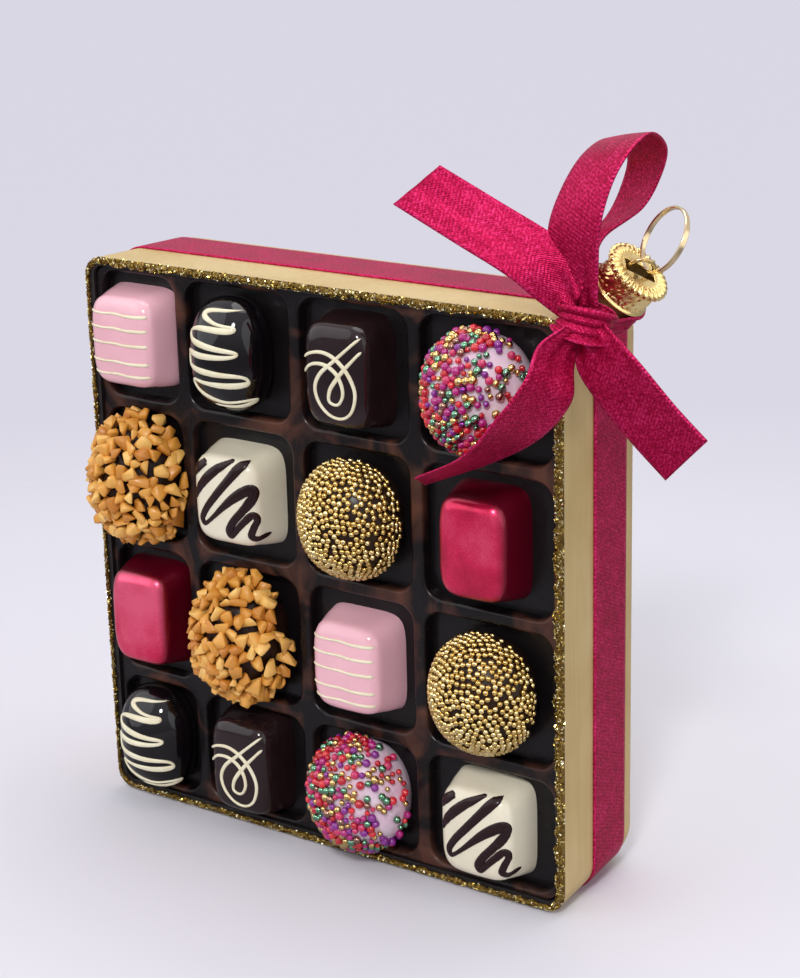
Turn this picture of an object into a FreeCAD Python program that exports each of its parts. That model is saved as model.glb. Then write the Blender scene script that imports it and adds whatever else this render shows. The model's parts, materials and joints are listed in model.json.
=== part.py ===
import FreeCAD, Part
import math
import os
import re
import Sketcher
from FreeCAD import Placement, Rotation, Vector

# Hanging glass ornament in the shape of an open box of chocolates.
# Millimetres, +Z up, front towards -Y, origin in the middle of the base.

doc = FreeCAD.newDocument("ChocolateBoxOrnament")
sheet = doc.addObject("Spreadsheet::Sheet", "Sizes")

driving_sizes = {
    # hollow glass case
    "case_width": 96.0,
    "case_height": 100.0,
    "case_depth": 26.0,
    "wall": 1.5,
    "front_corner_radius": 3.5,
    "rear_corner_radius": 8.0,
    "rear_edge_radius": 6.0,
    "overrun": 2.0,
    # tray of sixteen pockets in the open front
    "tray_recess": 0.6,
    "tray_thickness": 3.2,
    "tray_gap": 0.1,
    "rib_width": 2.4,
    "border_width": 0.8,
    "pocket_depth": 2.2,
    "pocket_corner": 3.2,
    "pocket_draft": 5.0,
    "rib_round": 0.7,
    # upright ribs from the middle, as shares of the case width
    "rib_left_share": -0.292,
    "rib_middle_share": -0.042,
    "rib_right_share": 0.206,
    # level ribs from the middle, as shares of the case height
    "rib_upper_share": 0.244,
    "rib_centre_share": -0.011,
    "rib_lower_share": -0.266,
    # glitter trim on the front rim
    "trim_width": 1.7,
    "trim_height": 0.5,
    # moulded chocolates: the fits are their clearances from the pockets' edges
    "block_side_fit": 0.385,
    "block_end_fit": 1.1,
    "tall_block_side_fit": 0.885,
    "tall_block_end_fit": 0.3,
    "block_rise": 8.1,
    "block_draft": 7.0,
    "block_corner": 3.2,
    "block_round": 2.0,
    "oval_side_fit": 0.985,
    "oval_end_fit": 0.05,
    "oval_rise": 6.6,
    "truffle_side_fit": 1.8,
    "truffle_end_fit": 0.2,
    "truffle_rise": 8.0,
    "nut_core_side_fit": 0.385,
    "nut_core_end_fit": 1.35,
    "nut_core_rise": 7.6,
    "dome_seat": 3.2,
    "chocolate_wall": 1.0,
    "chip_size": 2.1,
    "chip_gap": 0.06,
    # satin ribbon
    "ribbon_width": 10.0,
    "ribbon_thickness": 0.4,
    "ribbon_gap": 0.05,
    "ribbon_setback": 9.0,
    "bow_thickness": 0.5,
    "knot_right": 3.4,
    "knot_drop": 0.2,
    "knot_setback": 0.6,
    "knot_length": 7.6,
    "knot_width": 5.2,
    "knot_depth": 4.6,
    "knot_turn": 35.0,
    # neck on the upper right corner, and the hanger on it
    "hang_angle": 45.0,
    "neck_back": 1.0,
    "neck_radius": 4.0,
    "neck_bore": 3.0,
    "neck_root": 5.2,
    "neck_top": 6.6,
    "wrap_start": 1.2,
    "wrap_end": 2.9,
    "wrap_thickness": 1.4,
    "wrap_crease": 0.5,
    "wrap_gap": 0.05,
    "skirt_end": 3.3,
    "cap_top": 7.7,
    "cap_metal": 0.35,
    "cap_fit": 0.25,
    "cap_dish": 0.3,
    "rim_radius": 5.4,
    "rim_height": 0.9,
    "scallop_radius": 0.32,
    "slot_length": 5.6,
    "slot_width": 2.6,
    "clip_wire": 0.7,
    "clip_half_span": 2.1,
    "clip_drop": 0.1,
    "clip_leg": 5.0,
    "clip_flare": 0.35,
    "clip_tip": 4.0,
    "ring_radius": 5.3,
    "ring_wire": 0.42,
    "ring_band": 0.9,
    "ring_edge": 0.12,
    "ring_seat": 0.7,
    "ring_turn": 48.0,
    "ring_tilt": 12.0,
}

for row, (alias, amount) in enumerate(driving_sizes.items(), start=1):
    sheet.set(f"A{row}", alias)
    sheet.set(f"B{row}", str(amount))
    sheet.setAlias(f"B{row}", alias)
doc.recompute()

alias_words = re.compile("|".join(rf"\b{alias}\b" for alias in driving_sizes))
nodes = {}


def size(alias):
    return float(sheet.get(alias))


def in_sheet(formula):
    return alias_words.sub(lambda found: "Sizes." + found.group(0), formula)


def bind(thing, **formulas):
    for name, formula in formulas.items():
        thing.setExpression(name.replace("__", "."), in_sheet(formula))


def new_body(label):
    body = doc.addObject("PartDesign::Body", label)
    body.Label = label
    nodes[label] = body
    return body


def origin_plane(body, role):
    return next(plane for plane in body.Origin.OriginFeatures if plane.Role == role)


def attached_sketch(body, name, role, turn=None):
    sketch = body.newObject("Sketcher::SketchObject", name)
    sketch.AttachmentSupport = [(origin_plane(body, role), "")]
    sketch.MapMode = "FlatFace"
    if turn is not None:
        sketch.AttachmentOffset = Placement(Vector(), turn)
    return sketch


def bind_place(sketch, x, y, z):
    bind(sketch, AttachmentOffset__Base__x=x, AttachmentOffset__Base__y=y, AttachmentOffset__Base__z=z)


def closed_outline(sketch, corners):
    # A polygon whose corners are formulas, solved from a regular polygon.
    first, count = sketch.GeometryCount, len(corners)
    angles = [2 * math.pi * index / count for index in range(count)]
    start = [(math.cos(angle), math.sin(angle)) for angle in angles]
    for index in range(count):
        here = Vector(*start[index], 0)
        there = Vector(*start[(index + 1) % count], 0)
        sketch.addGeometry(Part.LineSegment(here, there))
    for index in range(count):
        following = first + (index + 1) % count
        sketch.addConstraint(Sketcher.Constraint("Coincident", first + index, 2, following, 1))
    for index, corner in enumerate(corners):
        for kind, formula, near in zip(("DistanceX", "DistanceY"), corner, start[index]):
            place = sketch.addConstraint(Sketcher.Constraint(kind, -1, 1, first + index, 1, near))
            sketch.setExpression(f"Constraints[{place}]", in_sheet(formula))


def rounded_rectangle(sketch, width, height, radius, start):
    # Centred on the sketch's origin; start gives the half sizes and radius to solve from.
    half_width, half_height, arc = start
    left, right = -half_width + arc, half_width - arc
    low, high = -half_height + arc, half_height - arc
    quarter = math.pi / 2

    def corner(x, y, first):
        circle = Part.Circle(Vector(x, y, 0), Vector(0, 0, 1), arc)
        return Part.ArcOfCircle(circle, first, first + quarter)

    sketch.addGeometry([
        Part.LineSegment(Vector(left, -half_height, 0), Vector(right, -half_height, 0)),
        corner(right, low, -quarter),
        Part.LineSegment(Vector(half_width, low, 0), Vector(half_width, high, 0)),
        corner(right, high, 0),
        Part.LineSegment(Vector(right, half_height, 0), Vector(left, half_height, 0)),
        corner(left, high, quarter),
        Part.LineSegment(Vector(-half_width, high, 0), Vector(-half_width, low, 0)),
        corner(left, low, 2 * quarter),
    ])
    rules = [Sketcher.Constraint("Tangent", index, 2, (index + 1) % 8, 1) for index in range(8)]
    rules += [Sketcher.Constraint("Horizontal", index) for index in (0, 4)]
    rules += [Sketcher.Constraint("Vertical", index) for index in (2, 6)]
    rules += [Sketcher.Constraint("Equal", 1, index) for index in (3, 5, 7)]
    rules.append(Sketcher.Constraint("Symmetric", 1, 3, 5, 3, -1, 1))
    sketch.addConstraint(rules)
    for rule, formula in (
        (Sketcher.Constraint("DistanceX", 6, 1, 2, 1, 2 * half_width), width),
        (Sketcher.Constraint("DistanceY", 0, 1, 4, 1, 2 * half_height), height),
        (Sketcher.Constraint("Radius", 1, arc), radius),
    ):
        place = sketch.addConstraint(rule)
        sketch.setExpression(f"Constraints[{place}]", in_sheet(formula))


def front_sketch(body, name, width, height, radius, forward, start, across="0", above="0"):
    # A rounded rectangle facing the front, measured from the middle of the case.
    sketch = attached_sketch(body, name, "XZ_Plane")
    rounded_rectangle(sketch, width, height, radius, start)
    bind_place(sketch, across, f"ribbon_thickness + case_height / 2 + {above}", forward)
    return sketch


def add(body, kind, name, sketch, **formulas):
    feature = body.newObject("PartDesign::" + kind, name)
    feature.Profile = sketch
    bind(feature, **formulas)
    return feature


def loft(body, kind, name, first, last):
    feature = body.newObject("PartDesign::" + kind, name)
    feature.Profile = first
    feature.Sections = [last]
    feature.Ruled = True
    return feature


def revolve(body, kind, name, sketch, axis="H_Axis"):
    feature = body.newObject("PartDesign::" + kind, name)
    feature.Profile = sketch
    feature.ReferenceAxis = (sketch, [axis])
    feature.Angle = 360
    return feature


def fillet(body, name, feature, chosen, radius):
    doc.recompute()
    edges = [f"Edge{i}" for i, edge in enumerate(feature.Shape.Edges, start=1) if chosen(edge)]
    rounding = body.newObject("PartDesign::Fillet", name)
    rounding.Base = (feature, edges)
    bind(rounding, Radius=radius)
    return rounding


def lies_at(y):
    # Edges in the plane of one depth.
    def test(edge):
        box = edge.BoundBox
        return abs(box.YMin - y) < tolerance and abs(box.YMax - y) < tolerance
    return test


tolerance = size("wall") / 1000
half_depth = size("case_depth") / 2
front_start = (size("case_width") / 2, size("case_height") / 2, size("front_corner_radius"))
radius_growth = "(rear_corner_radius - front_corner_radius) / case_depth"


def corner_radius(behind_front):
    # The case's corners open out evenly from the front to the back.
    return f"front_corner_radius + {radius_growth} * ({behind_front})"


# Axes of the hanger: along the neck, across the corner, and the loose ring's own.
hang = math.radians(size("hang_angle"))
turned = math.radians(size("ring_turn"))
tilted = math.radians(size("ring_tilt"))
along_neck = Vector(math.cos(hang), 0, math.sin(hang))
across_neck = Vector(math.sin(hang), 0, -math.cos(hang))
backward = Vector(0, 1, 0)
ring_normal = across_neck * math.cos(turned) + backward * math.sin(turned)
slot_line = across_neck * math.sin(turned) - backward * math.cos(turned)
ring_up = along_neck * math.cos(tilted) - slot_line * math.sin(tilted)
neck_plane = Rotation(along_neck, -across_neck, -backward, "XYZ")


def hanger_sketch(body, name, turn, along="0", lift="0"):
    # Placed on the neck's axis, a distance along it from the case's sharp corner.
    sketch = attached_sketch(body, name, "XY_Plane", turn)
    bind_place(
        sketch,
        f"case_width / 2 + ({along}) * cos(hang_angle * 1 deg) + ({lift}) * {ring_up.x}",
        f"neck_back + ({lift}) * {ring_up.y}",
        f"ribbon_thickness + case_height + ({along}) * sin(hang_angle * 1 deg) + ({lift}) * {ring_up.z}",
    )
    return sketch


# Case: a thin hollow shell, open at the front, with the neck at its upper right corner.
def rounded_form(body, inset, front, rear):
    # The case's form, or the same form set in by the wall, between two distances behind the front.
    ends = [
        front_sketch(
            body, f"FormEnd{number}", f"case_width - 2 * ({inset})", f"case_height - 2 * ({inset})",
            corner_radius(behind) + f" - ({inset})", f"case_depth / 2 - ({behind})", front_start)
        for number, behind in enumerate((rear, front), start=1)]
    return loft(body, "AdditiveLoft", "Form", *ends)


case = new_body("box_case")
case_block = rounded_form(case, "0", "0", "case_depth")
fillet(case, "CaseRearEdge", case_block, lies_at(half_depth), "rear_edge_radius")
hollow_form = doc.addObject("PartDesign::Body", "CaseHollow")
hollow_block = rounded_form(hollow_form, "wall", "-overrun", "case_depth - wall")
hollow_rear = half_depth - size("wall")
fillet(hollow_form, "HollowRearEdge", hollow_block, lies_at(hollow_rear), "rear_edge_radius - wall")
doc.recompute()
hollow = case.newObject("PartDesign::Boolean", "Hollow")
hollow.addObjects([hollow_form])
hollow.Type = "Cut"
doc.recompute()
neck_sketch = hanger_sketch(case, "NeckOutline", neck_plane)
neck_corners = (
    ("-neck_root", "neck_bore"), ("neck_top", "neck_bore"), ("neck_top", "neck_radius"),
    ("-neck_root", "neck_radius"))
closed_outline(neck_sketch, neck_corners)
revolve(case, "Revolution", "Neck", neck_sketch)
bore_sketch = hanger_sketch(case, "BoreOutline", neck_plane)
bore_corners = (
    ("-neck_root", "0"), ("neck_top", "0"), ("neck_top", "neck_bore"), ("-neck_root", "neck_bore"))
closed_outline(bore_sketch, bore_corners)
revolve(case, "Groove", "NeckBore", bore_sketch)

# Tray: a dark panel in the open front, with sixteen drafted pockets between soft ribs.
tray = new_body("tray_panel")
tray_front = "case_depth / 2 - tray_recess"
tray_edge = "(wall + tray_gap)"
tray_sketch = front_sketch(
    tray, "TrayOutline", f"case_width - 2 * {tray_edge}", f"case_height - 2 * {tray_edge}",
    corner_radius("tray_recess + tray_thickness") + " - wall",
    tray_front + " - tray_thickness", front_start)
tray_solid = add(tray, "Pad", "TrayPanel", tray_sketch, Length="tray_thickness")

side_inset = f"({tray_edge} + border_width)"
column_lines = (
    f"-case_width / 2 + {side_inset} - rib_width / 2", "case_width * rib_left_share",
    "case_width * rib_middle_share", "case_width * rib_right_share",
    f"case_width / 2 - {side_inset} + rib_width / 2")
row_lines = (
    f"case_height / 2 - {side_inset} + rib_width / 2", "case_height * rib_upper_share",
    "case_height * rib_centre_share", "case_height * rib_lower_share",
    f"-case_height / 2 + {side_inset} - rib_width / 2")
pocket_start = (size("block_rise"), size("block_rise"), size("pocket_corner"))


def pocket_width(column):
    return f"({column_lines[column + 1]} - ({column_lines[column]}) - rib_width)"


def pocket_height(row):
    return f"({row_lines[row]} - ({row_lines[row + 1]}) - rib_width)"


def cell_centre(row, column):
    across = f"({column_lines[column]} + {column_lines[column + 1]}) / 2"
    above = f"({row_lines[row]} + {row_lines[row + 1]}) / 2"
    return across, above


for row in range(4):
    for column in range(4):
        across, above = cell_centre(row, column)
        pocket_sketch = front_sketch(
            tray, f"PocketOutline{row}{column}", pocket_width(column), pocket_height(row),
            "pocket_corner", tray_front, pocket_start, across, above)
        pocket = add(
            tray, "Pocket", f"Pocket{row}{column}", pocket_sketch,
            Length="pocket_depth", TaperAngle="-pocket_draft")
doc.recompute()
tray_plane = -half_depth + size("tray_recess")
tray_box = tray_solid.Shape.BoundBox


def pocket_rim(edge):
    box = edge.BoundBox
    at_side = box.XMin < tray_box.XMin + tolerance or box.XMax > tray_box.XMax - tolerance
    at_end = box.ZMin < tray_box.ZMin + tolerance or box.ZMax > tray_box.ZMax - tolerance
    return lies_at(tray_plane)(edge) and not at_side and not at_end


fillet(tray, "SoftRibs", pocket, pocket_rim, "rib_round")

# Glitter trim round the front rim.
trim = new_body("glitter_edge")
trim_sketch = front_sketch(
    trim, "TrimOutline", "case_width", "case_height", "front_corner_radius", "case_depth / 2", front_start)
add(trim, "Pad", "TrimPlate", trim_sketch, Length="trim_height")
trim_opening = front_sketch(
    trim, "TrimOpening", "case_width - 2 * trim_width", "case_height - 2 * trim_width",
    "front_corner_radius - trim_width / 2", "case_depth / 2 + trim_height", front_start)
add(trim, "Pocket", "TrimHole", trim_opening, Length="trim_height + overrun")

# Chocolates: drafted blocks with soft edges, and domes, each seated on its pocket's floor.
floor_depth = "(case_depth / 2 - tray_recess - pocket_depth)"
narrow_pocket, wide_pocket = pocket_width(0), pocket_width(2)
short_pocket, tall_pocket = pocket_height(3), pocket_height(1)


def fitted(pocket, fit):
    return f"({pocket} - 2 * {fit})"


def block(label, row, column, width, height):
    body = new_body(label)
    across, above = cell_centre(row, column)
    outline = front_sketch(
        body, "BlockOutline", width, height, "block_corner", floor_depth, pocket_start, across, above)
    solid = add(body, "Pad", "BlockSolid", outline, Length="block_rise", TaperAngle="-block_draft")
    top = -half_depth + size("tray_recess") + size("pocket_depth") - size("block_rise")
    fillet(body, "BlockSoftEdge", solid, lies_at(top), "block_round")
    inside = front_sketch(
        body, "BlockInside", f"{width} - 2 * chocolate_wall", f"{height} - 2 * chocolate_wall",
        "block_corner - chocolate_wall", floor_depth, pocket_start, across, above)
    hollow = add(
        body, "Pocket", "BlockHollow", inside, Length="block_rise - chocolate_wall",
        TaperAngle="-block_draft")
    hollow.Reversed = True


facing_front = Rotation(Vector(1, 0, 0), 90)


def ellipsoid(label, row, column, width, height, rise, cut_angle):
    solid = doc.addObject("Part::Ellipsoid", label)
    solid.Placement = Placement(Vector(), facing_front)
    across, above = cell_centre(row, column)
    bind(
        solid, Radius1=rise, Radius2=f"({width}) / 2", Radius3=f"({height}) / 2", Angle1=cut_angle,
        Placement__Base__x=across, Placement__Base__y=f"-{floor_depth} - dome_seat",
        Placement__Base__z=f"ribbon_thickness + case_height / 2 + {above}")
    return solid


def dome(label, row, column, width, height, rise):
    outside = ellipsoid(
        label + "_outside", row, column, width, height, rise, f"-asin(dome_seat / {rise})")
    inside = ellipsoid(
        label + "_inside", row, column, f"{width} - 2 * chocolate_wall", f"{height} - 2 * chocolate_wall",
        f"{rise} - chocolate_wall", "-90")
    shell = doc.addObject("Part::Cut", label)
    shell.Label = label
    shell.Base = outside
    shell.Tool = inside
    nodes[label] = shell
    return outside


block_size = (fitted(narrow_pocket, "block_side_fit"), fitted(short_pocket, "block_end_fit"))
tall_block_size = (fitted(narrow_pocket, "tall_block_side_fit"), fitted(short_pocket, "tall_block_end_fit"))
oval_size = (fitted(narrow_pocket, "oval_side_fit"), fitted(short_pocket, "oval_end_fit"), "oval_rise")
truffle_size = (
    fitted(wide_pocket, "truffle_side_fit"), fitted(short_pocket, "truffle_end_fit"), "truffle_rise")
nut_core_size = (
    fitted(narrow_pocket, "nut_core_side_fit"), fitted(tall_pocket, "nut_core_end_fit"), "nut_core_rise")
for number, cell in enumerate(((0, 0), (2, 2)), start=1):
    block(f"pink_square_{number}", *cell, *block_size)
for number, cell in enumerate(((1, 1), (3, 3)), start=1):
    block(f"white_square_{number}", *cell, *block_size)
for number, cell in enumerate(((0, 2), (3, 1)), start=1):
    block(f"dark_square_{number}", *cell, *tall_block_size)
for number, cell in enumerate(((1, 3), (2, 0)), start=1):
    block(f"foil_square_{number}", *cell, *tall_block_size)
for number, cell in enumerate(((0, 1), (3, 0)), start=1):
    dome(f"dark_oval_{number}", *cell, *oval_size)
for number, cell in enumerate(((0, 3), (3, 2)), start=1):
    dome(f"sprinkle_truffle_{number}", *cell, *truffle_size)
for number, cell in enumerate(((1, 2), (2, 3)), start=1):
    dome(f"gold_truffle_{number}", *cell, *truffle_size)
nut_cores = [
    dome(f"nut_truffle_{number}", *cell, *nut_core_size)
    for number, cell in enumerate(((1, 0), (2, 1)), start=1)]
doc.recompute()

# Chopped nuts: angular chips spread evenly over each core, each on its own tangent plane.
chip_count = 56
chip_spread_share = 0.93
chip_width_shares = (0.85, 1.15)
chip_height_shares = (0.75, 0.5)
chip_foot_shares = (0.5, 0.38)
chip_top_shares = (0.2, 0.33, 0.17)
chip_lean_share = 0.15
golden_share = (math.sqrt(5) - 1) / 2
golden_turn = 2 * math.pi * golden_share


def between(shares, vary_share):
    return shares[0] + (shares[1] - shares[0]) * vary_share


def nut_chips(label, core, first_turn):
    radii = (core.Radius2.Value, core.Radius3.Value, core.Radius1.Value)
    up = Vector(0, 1, 0)
    chips = []
    for index in range(chip_count):
        rise = 1 - chip_spread_share * (index + 0.5) / chip_count
        girth = math.sqrt(1 - rise * rise)
        turn = first_turn + index * golden_turn
        unit = (girth * math.cos(turn), girth * math.sin(turn), rise)
        spot = Vector(*(part * radius for part, radius in zip(unit, radii)))
        normal = Vector(*(part / radius for part, radius in zip(unit, radii))).normalize()
        vary_share = (index * golden_share) % 1
        wide = size("chip_size") * between(chip_width_shares, vary_share)
        tall = size("chip_size") * between(chip_height_shares, vary_share)
        lean = wide * between((-chip_lean_share, chip_lean_share), vary_share)
        foot, deep = (wide * share for share in chip_foot_shares)
        top, top_rear, top_front = (wide * share for share in chip_top_shares)
        chip = Part.makeWedge(
            -foot, 0, -deep, -top + lean, -top_rear, foot, tall, deep, top + lean, top_front)
        spin = Rotation(up, index * math.degrees(golden_turn))
        chip.Placement = Placement(spot + normal * size("chip_gap"), Rotation(up, normal) * spin)
        chips.append(chip)
    group = doc.addObject("Part::Feature", label)
    group.Label = label
    group.Shape = Part.makeCompound(chips)
    group.Placement = core.Placement
    nodes[label] = group


for number, core in enumerate(nut_cores, start=1):
    nut_chips(f"nut_chips_{number}", core, number)

# Ribbon round the case, flat where it stands and open where the neck stands.
band = new_body("ribbon_band")


def band_sketch(name, behind_front, clearance, below="0"):
    return front_sketch(
        band, name, f"case_width + 2 * ({clearance})", f"case_height + 2 * ({clearance}) + {below}",
        corner_radius(behind_front) + f" + {clearance}", f"case_depth / 2 - ({behind_front})", front_start,
        above=f"(0 - {below}) / 2")


band_ends = ("ribbon_setback + ribbon_width", "ribbon_setback")
band_outer = [
    band_sketch(f"BandOuter{number}", end, "ribbon_thickness", "ribbon_gap")
    for number, end in enumerate(band_ends)]
loft(band, "AdditiveLoft", "BandSolid", *band_outer)
band_inner = [
    band_sketch(f"BandInner{number}", end, "ribbon_gap") for number, end in enumerate(band_ends)]
loft(band, "SubtractiveLoft", "BandRing", *band_inner)
underside = attached_sketch(band, "UndersideOutline", "XZ_Plane")
closed_outline(
    underside,
    (("-case_width / 2", "-overrun"), ("case_width / 2", "-overrun"), ("case_width / 2", "0"),
     ("-case_width / 2", "0")))
underside_cut = add(band, "Pocket", "FlatUnderside", underside, Length="2 * case_depth")
underside_cut.Midplane = True
band_opening = hanger_sketch(band, "BandOpening", neck_plane)
gap_reach = "(neck_radius + wrap_thickness)"
gap_far = "(neck_root + neck_top)"
closed_outline(
    band_opening,
    ((f"-{gap_far}", f"-{gap_reach}"), (gap_far, f"-{gap_reach}"), (gap_far, gap_reach),
     (f"-{gap_far}", gap_reach)))
band_cut = add(band, "Pocket", "BandGap", band_opening, Length="2 * ribbon_width")
band_cut.Midplane = True

# Gathered ribbon round the neck, with both strands drawn forward to the knot.
wrap = new_body("ribbon_neck_wrap")
wrap_inner = "(neck_radius + wrap_gap)"
wrap_outer = "(neck_radius + wrap_gap + wrap_thickness)"
wrap_core = "(neck_radius + wrap_gap + wrap_thickness / 2)"
wrap_middle = "((wrap_end - wrap_start) / 2)"
wrap_sketch = hanger_sketch(wrap, "WrapOutline", neck_plane)
closed_outline(
    wrap_sketch,
    (("-wrap_start", "0"), ("wrap_end", "0"), ("wrap_end", f"{wrap_outer} - wrap_crease"),
     (f"{wrap_middle} + wrap_crease", wrap_outer), (wrap_middle, f"{wrap_outer} - wrap_crease"),
     (f"{wrap_middle} - wrap_crease", wrap_outer), ("-wrap_start", f"{wrap_outer} - wrap_crease")))
revolve(wrap, "Revolution", "WrapRoll", wrap_sketch)
neck_across = Rotation(across_neck, backward, along_neck, "XYZ")
strand_sketch = hanger_sketch(wrap, "StrandOutline", neck_across, "-wrap_crease")
knot_side = "((knot_right + knot_drop) * sin(hang_angle * 1 deg))"
knot_forward = "(case_depth / 2 - knot_setback)"
knot_front = f"({knot_forward} + neck_back - knot_depth / 2)"
closed_outline(
    strand_sketch,
    ((wrap_core, "0"), (f"-{wrap_core}", "0"), (f"{knot_side} - wrap_thickness", f"-{knot_front}"),
     (f"{knot_side} + wrap_thickness", f"-{knot_front}")))
closed_outline(
    strand_sketch,
    ((f"{wrap_core} - wrap_thickness", "-wrap_gap"), (f"wrap_thickness - {wrap_core}", "-wrap_gap"),
     (knot_side, f"wrap_thickness - {knot_front}")))
add(wrap, "Pad", "WrapStrands", strand_sketch, Length="wrap_end")
eye_sketch = hanger_sketch(wrap, "WrapEyeOutline", neck_plane)
closed_outline(
    eye_sketch,
    (("-wrap_start - overrun", "0"), ("wrap_end + overrun", "0"), ("wrap_end + overrun", wrap_inner),
     ("-wrap_start - overrun", wrap_inner)))
revolve(wrap, "Groove", "WrapEye", eye_sketch)

# Bow: knot, one loop and three tails of flat ribbon.
knot = doc.addObject("Part::Ellipsoid", "bow_knot")
knot.Label = "bow_knot"
knot.Angle1 = -90
knot.Placement = Placement(Vector(), Rotation(Vector(0, 0, 1), size("knot_turn")))
bind(
    knot, Radius1="knot_width / 2", Radius2="knot_length / 2", Radius3="knot_depth / 2",
    Placement__Base__x="case_width / 2 + knot_right", Placement__Base__y=f"-{knot_forward}",
    Placement__Base__z="ribbon_thickness + case_height - knot_drop")
nodes["bow_knot"] = knot
doc.recompute()

# Each station: place from the knot in ribbon widths, direction across the ribbon, width share.
bow_shares = {
    "bow_tail_upper": (
        ((-0.15, -0.05, 0.22), (0.47, 0.0, 0.88), 0.55),
        ((-0.40, -0.08, 0.62), (0.47, 0.0, 0.88), 0.92),
        ((-0.86, -0.15, 0.96), (0.60, 0.0, 0.80), 1.0),
        ((-1.71, -0.25, 1.38), (0.68, -0.05, 0.73), 1.0),
        ((-2.76, -0.35, 1.87), (0.75, 0.0, 0.66), 1.0)),
    "bow_tail_front": (
        ((-0.08, -0.22, -0.12), (0.10, -0.86, 0.50), 0.45),
        ((-0.17, -0.55, -0.45), (-0.19, -0.80, 0.57), 0.9),
        ((-0.14, -0.85, -0.90), (-0.31, -0.82, 0.49), 1.0),
        ((-0.51, -1.05, -1.45), (-0.24, -0.84, 0.48), 1.0),
        ((-1.21, -1.12, -2.04), (0.04, -0.94, 0.33), 1.0),
        ((-2.35, -1.05, -2.60), (0.39, -0.83, 0.39), 1.0)),
    "bow_tail_side": (
        ((0.10, -0.05, -0.16), (-0.80, 0.0, -0.60), 0.5),
        ((0.27, -0.08, -0.46), (-0.78, 0.0, -0.62), 0.8),
        ((0.62, -0.05, -0.86), (-0.75, 0.0, -0.66), 1.0),
        ((1.09, 0.15, -1.48), (-0.74, 0.0, -0.67), 1.0),
        ((1.55, 0.35, -2.03), (-0.69, 0.0, -0.72), 1.0)),
    "bow_loop": (
        ((-0.05, 0.03, 0.22), (-0.97, 0.10, -0.10), 0.55),
        ((-0.18, 0.00, 0.85), (-0.98, 0.10, -0.10), 0.9),
        ((-0.17, -0.02, 1.45), (-0.98, 0.00, -0.15), 1.0),
        ((-0.04, 0.14, 2.05), (-0.97, 0.05, -0.18), 1.0),
        ((0.12, 0.45, 2.50), (-0.97, 0.10, -0.18), 1.0),
        ((0.14, 1.08, 2.64), (-0.96, 0.15, -0.20), 1.0),
        ((-0.08, 1.75, 2.30), (-0.96, 0.18, -0.22), 1.0),
        ((-0.32, 1.98, 1.78), (-0.95, 0.20, -0.25), 1.0),
        ((-0.56, 1.88, 1.27), (-0.93, 0.20, -0.30), 0.9),
        ((-0.80, 1.57, 0.90), (-0.90, 0.25, -0.35), 0.65),
        ((-0.69, 1.12, 0.61), (-0.90, 0.30, -0.30), 0.55),
        ((-0.29, 0.39, 0.34), (-0.92, 0.30, -0.20), 0.45)),
}


def ribbon_strip(label, stations):
    # Four smooth rails through the stations' corners, joined by ruled faces and closed by two ends.
    width, half_thick = size("ribbon_width"), size("bow_thickness") / 2
    middle = knot.Placement.Base
    places = [middle + Vector(*place) * width for place, across, share in stations]
    sections = []
    for index, (place, across, share) in enumerate(stations):
        ahead = places[min(index + 1, len(places) - 1)] - places[max(index - 1, 0)]
        half_across = Vector(*across).normalize() * width * share / 2
        lift = ahead.cross(half_across).normalize() * half_thick
        sections.append([
            places[index] + half_across * side + lift * face
            for side, face in ((1, 1), (-1, 1), (-1, -1), (1, -1))])
    steps = [(after - before).Length for before, after in zip(places, places[1:])]
    marks = [sum(steps[:index]) for index in range(len(places))]
    rails = [Part.BSplineCurve() for corner in sections[0]]
    for rail, corners in zip(rails, zip(*sections)):
        rail.interpolate(Points=list(corners), Parameters=marks)
    halfway = marks[len(marks) // 2]
    faces = []
    for start, end in ((marks[0], halfway), (halfway, marks[-1])):
        edges = [rail.toShape(start, end) for rail in rails]
        faces += [Part.makeRuledSurface(edges[side], edges[side - 1]) for side in range(len(edges))]
    for section in (sections[0], sections[-1]):
        faces.append(Part.Face(Part.makePolygon(section + section[:1])))
    shell = Part.makeShell(faces)
    shell.sewShape()
    solid = Part.makeSolid(shell)
    if solid.Volume < 0:
        solid.reverse()
    strip = doc.addObject("Part::Feature", label)
    strip.Label = label
    strip.Shape = solid
    nodes[label] = strip


for label, stations in bow_shares.items():
    ribbon_strip(label, stations)

# Stamped cap: skirt over the neck, scalloped rim, dished top with a slot.
scallop_count = 24
cap = new_body("hanger_cap")
cap_sketch = hanger_sketch(cap, "CapOutline", neck_plane)
skirt_inner = "(neck_radius + cap_fit)"
skirt_outer = "(neck_radius + cap_fit + cap_metal)"
closed_outline(
    cap_sketch,
    (("skirt_end", skirt_inner), ("cap_top - cap_dish - cap_metal", skirt_inner),
     ("cap_top - cap_dish - cap_metal", "0"), ("cap_top - cap_dish", "0"),
     ("cap_top - cap_dish", f"{skirt_inner} - cap_metal"), ("cap_top", skirt_outer),
     ("cap_top - rim_height / 3", "rim_radius"), ("cap_top - rim_height", "rim_radius"),
     ("cap_top - rim_height - cap_metal", skirt_outer), ("skirt_end", skirt_outer)))
revolve(cap, "Revolution", "CapShell", cap_sketch)
ring_across = Rotation(slot_line, ring_normal, along_neck, "XYZ")
slot_sketch = hanger_sketch(cap, "CapSlotOutline", ring_across, "cap_top")
half_slot = ("slot_width / 2", "slot_length / 2")
closed_outline(
    slot_sketch,
    ((f"-{half_slot[0]}", f"-{half_slot[1]}"), (half_slot[0], f"-{half_slot[1]}"), half_slot,
     (f"-{half_slot[0]}", half_slot[1])))
add(cap, "Pocket", "CapSlot", slot_sketch, Length="cap_dish + cap_metal + cap_fit")
scallop_sketch = hanger_sketch(cap, "ScallopOutline", ring_across, "cap_top")
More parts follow.
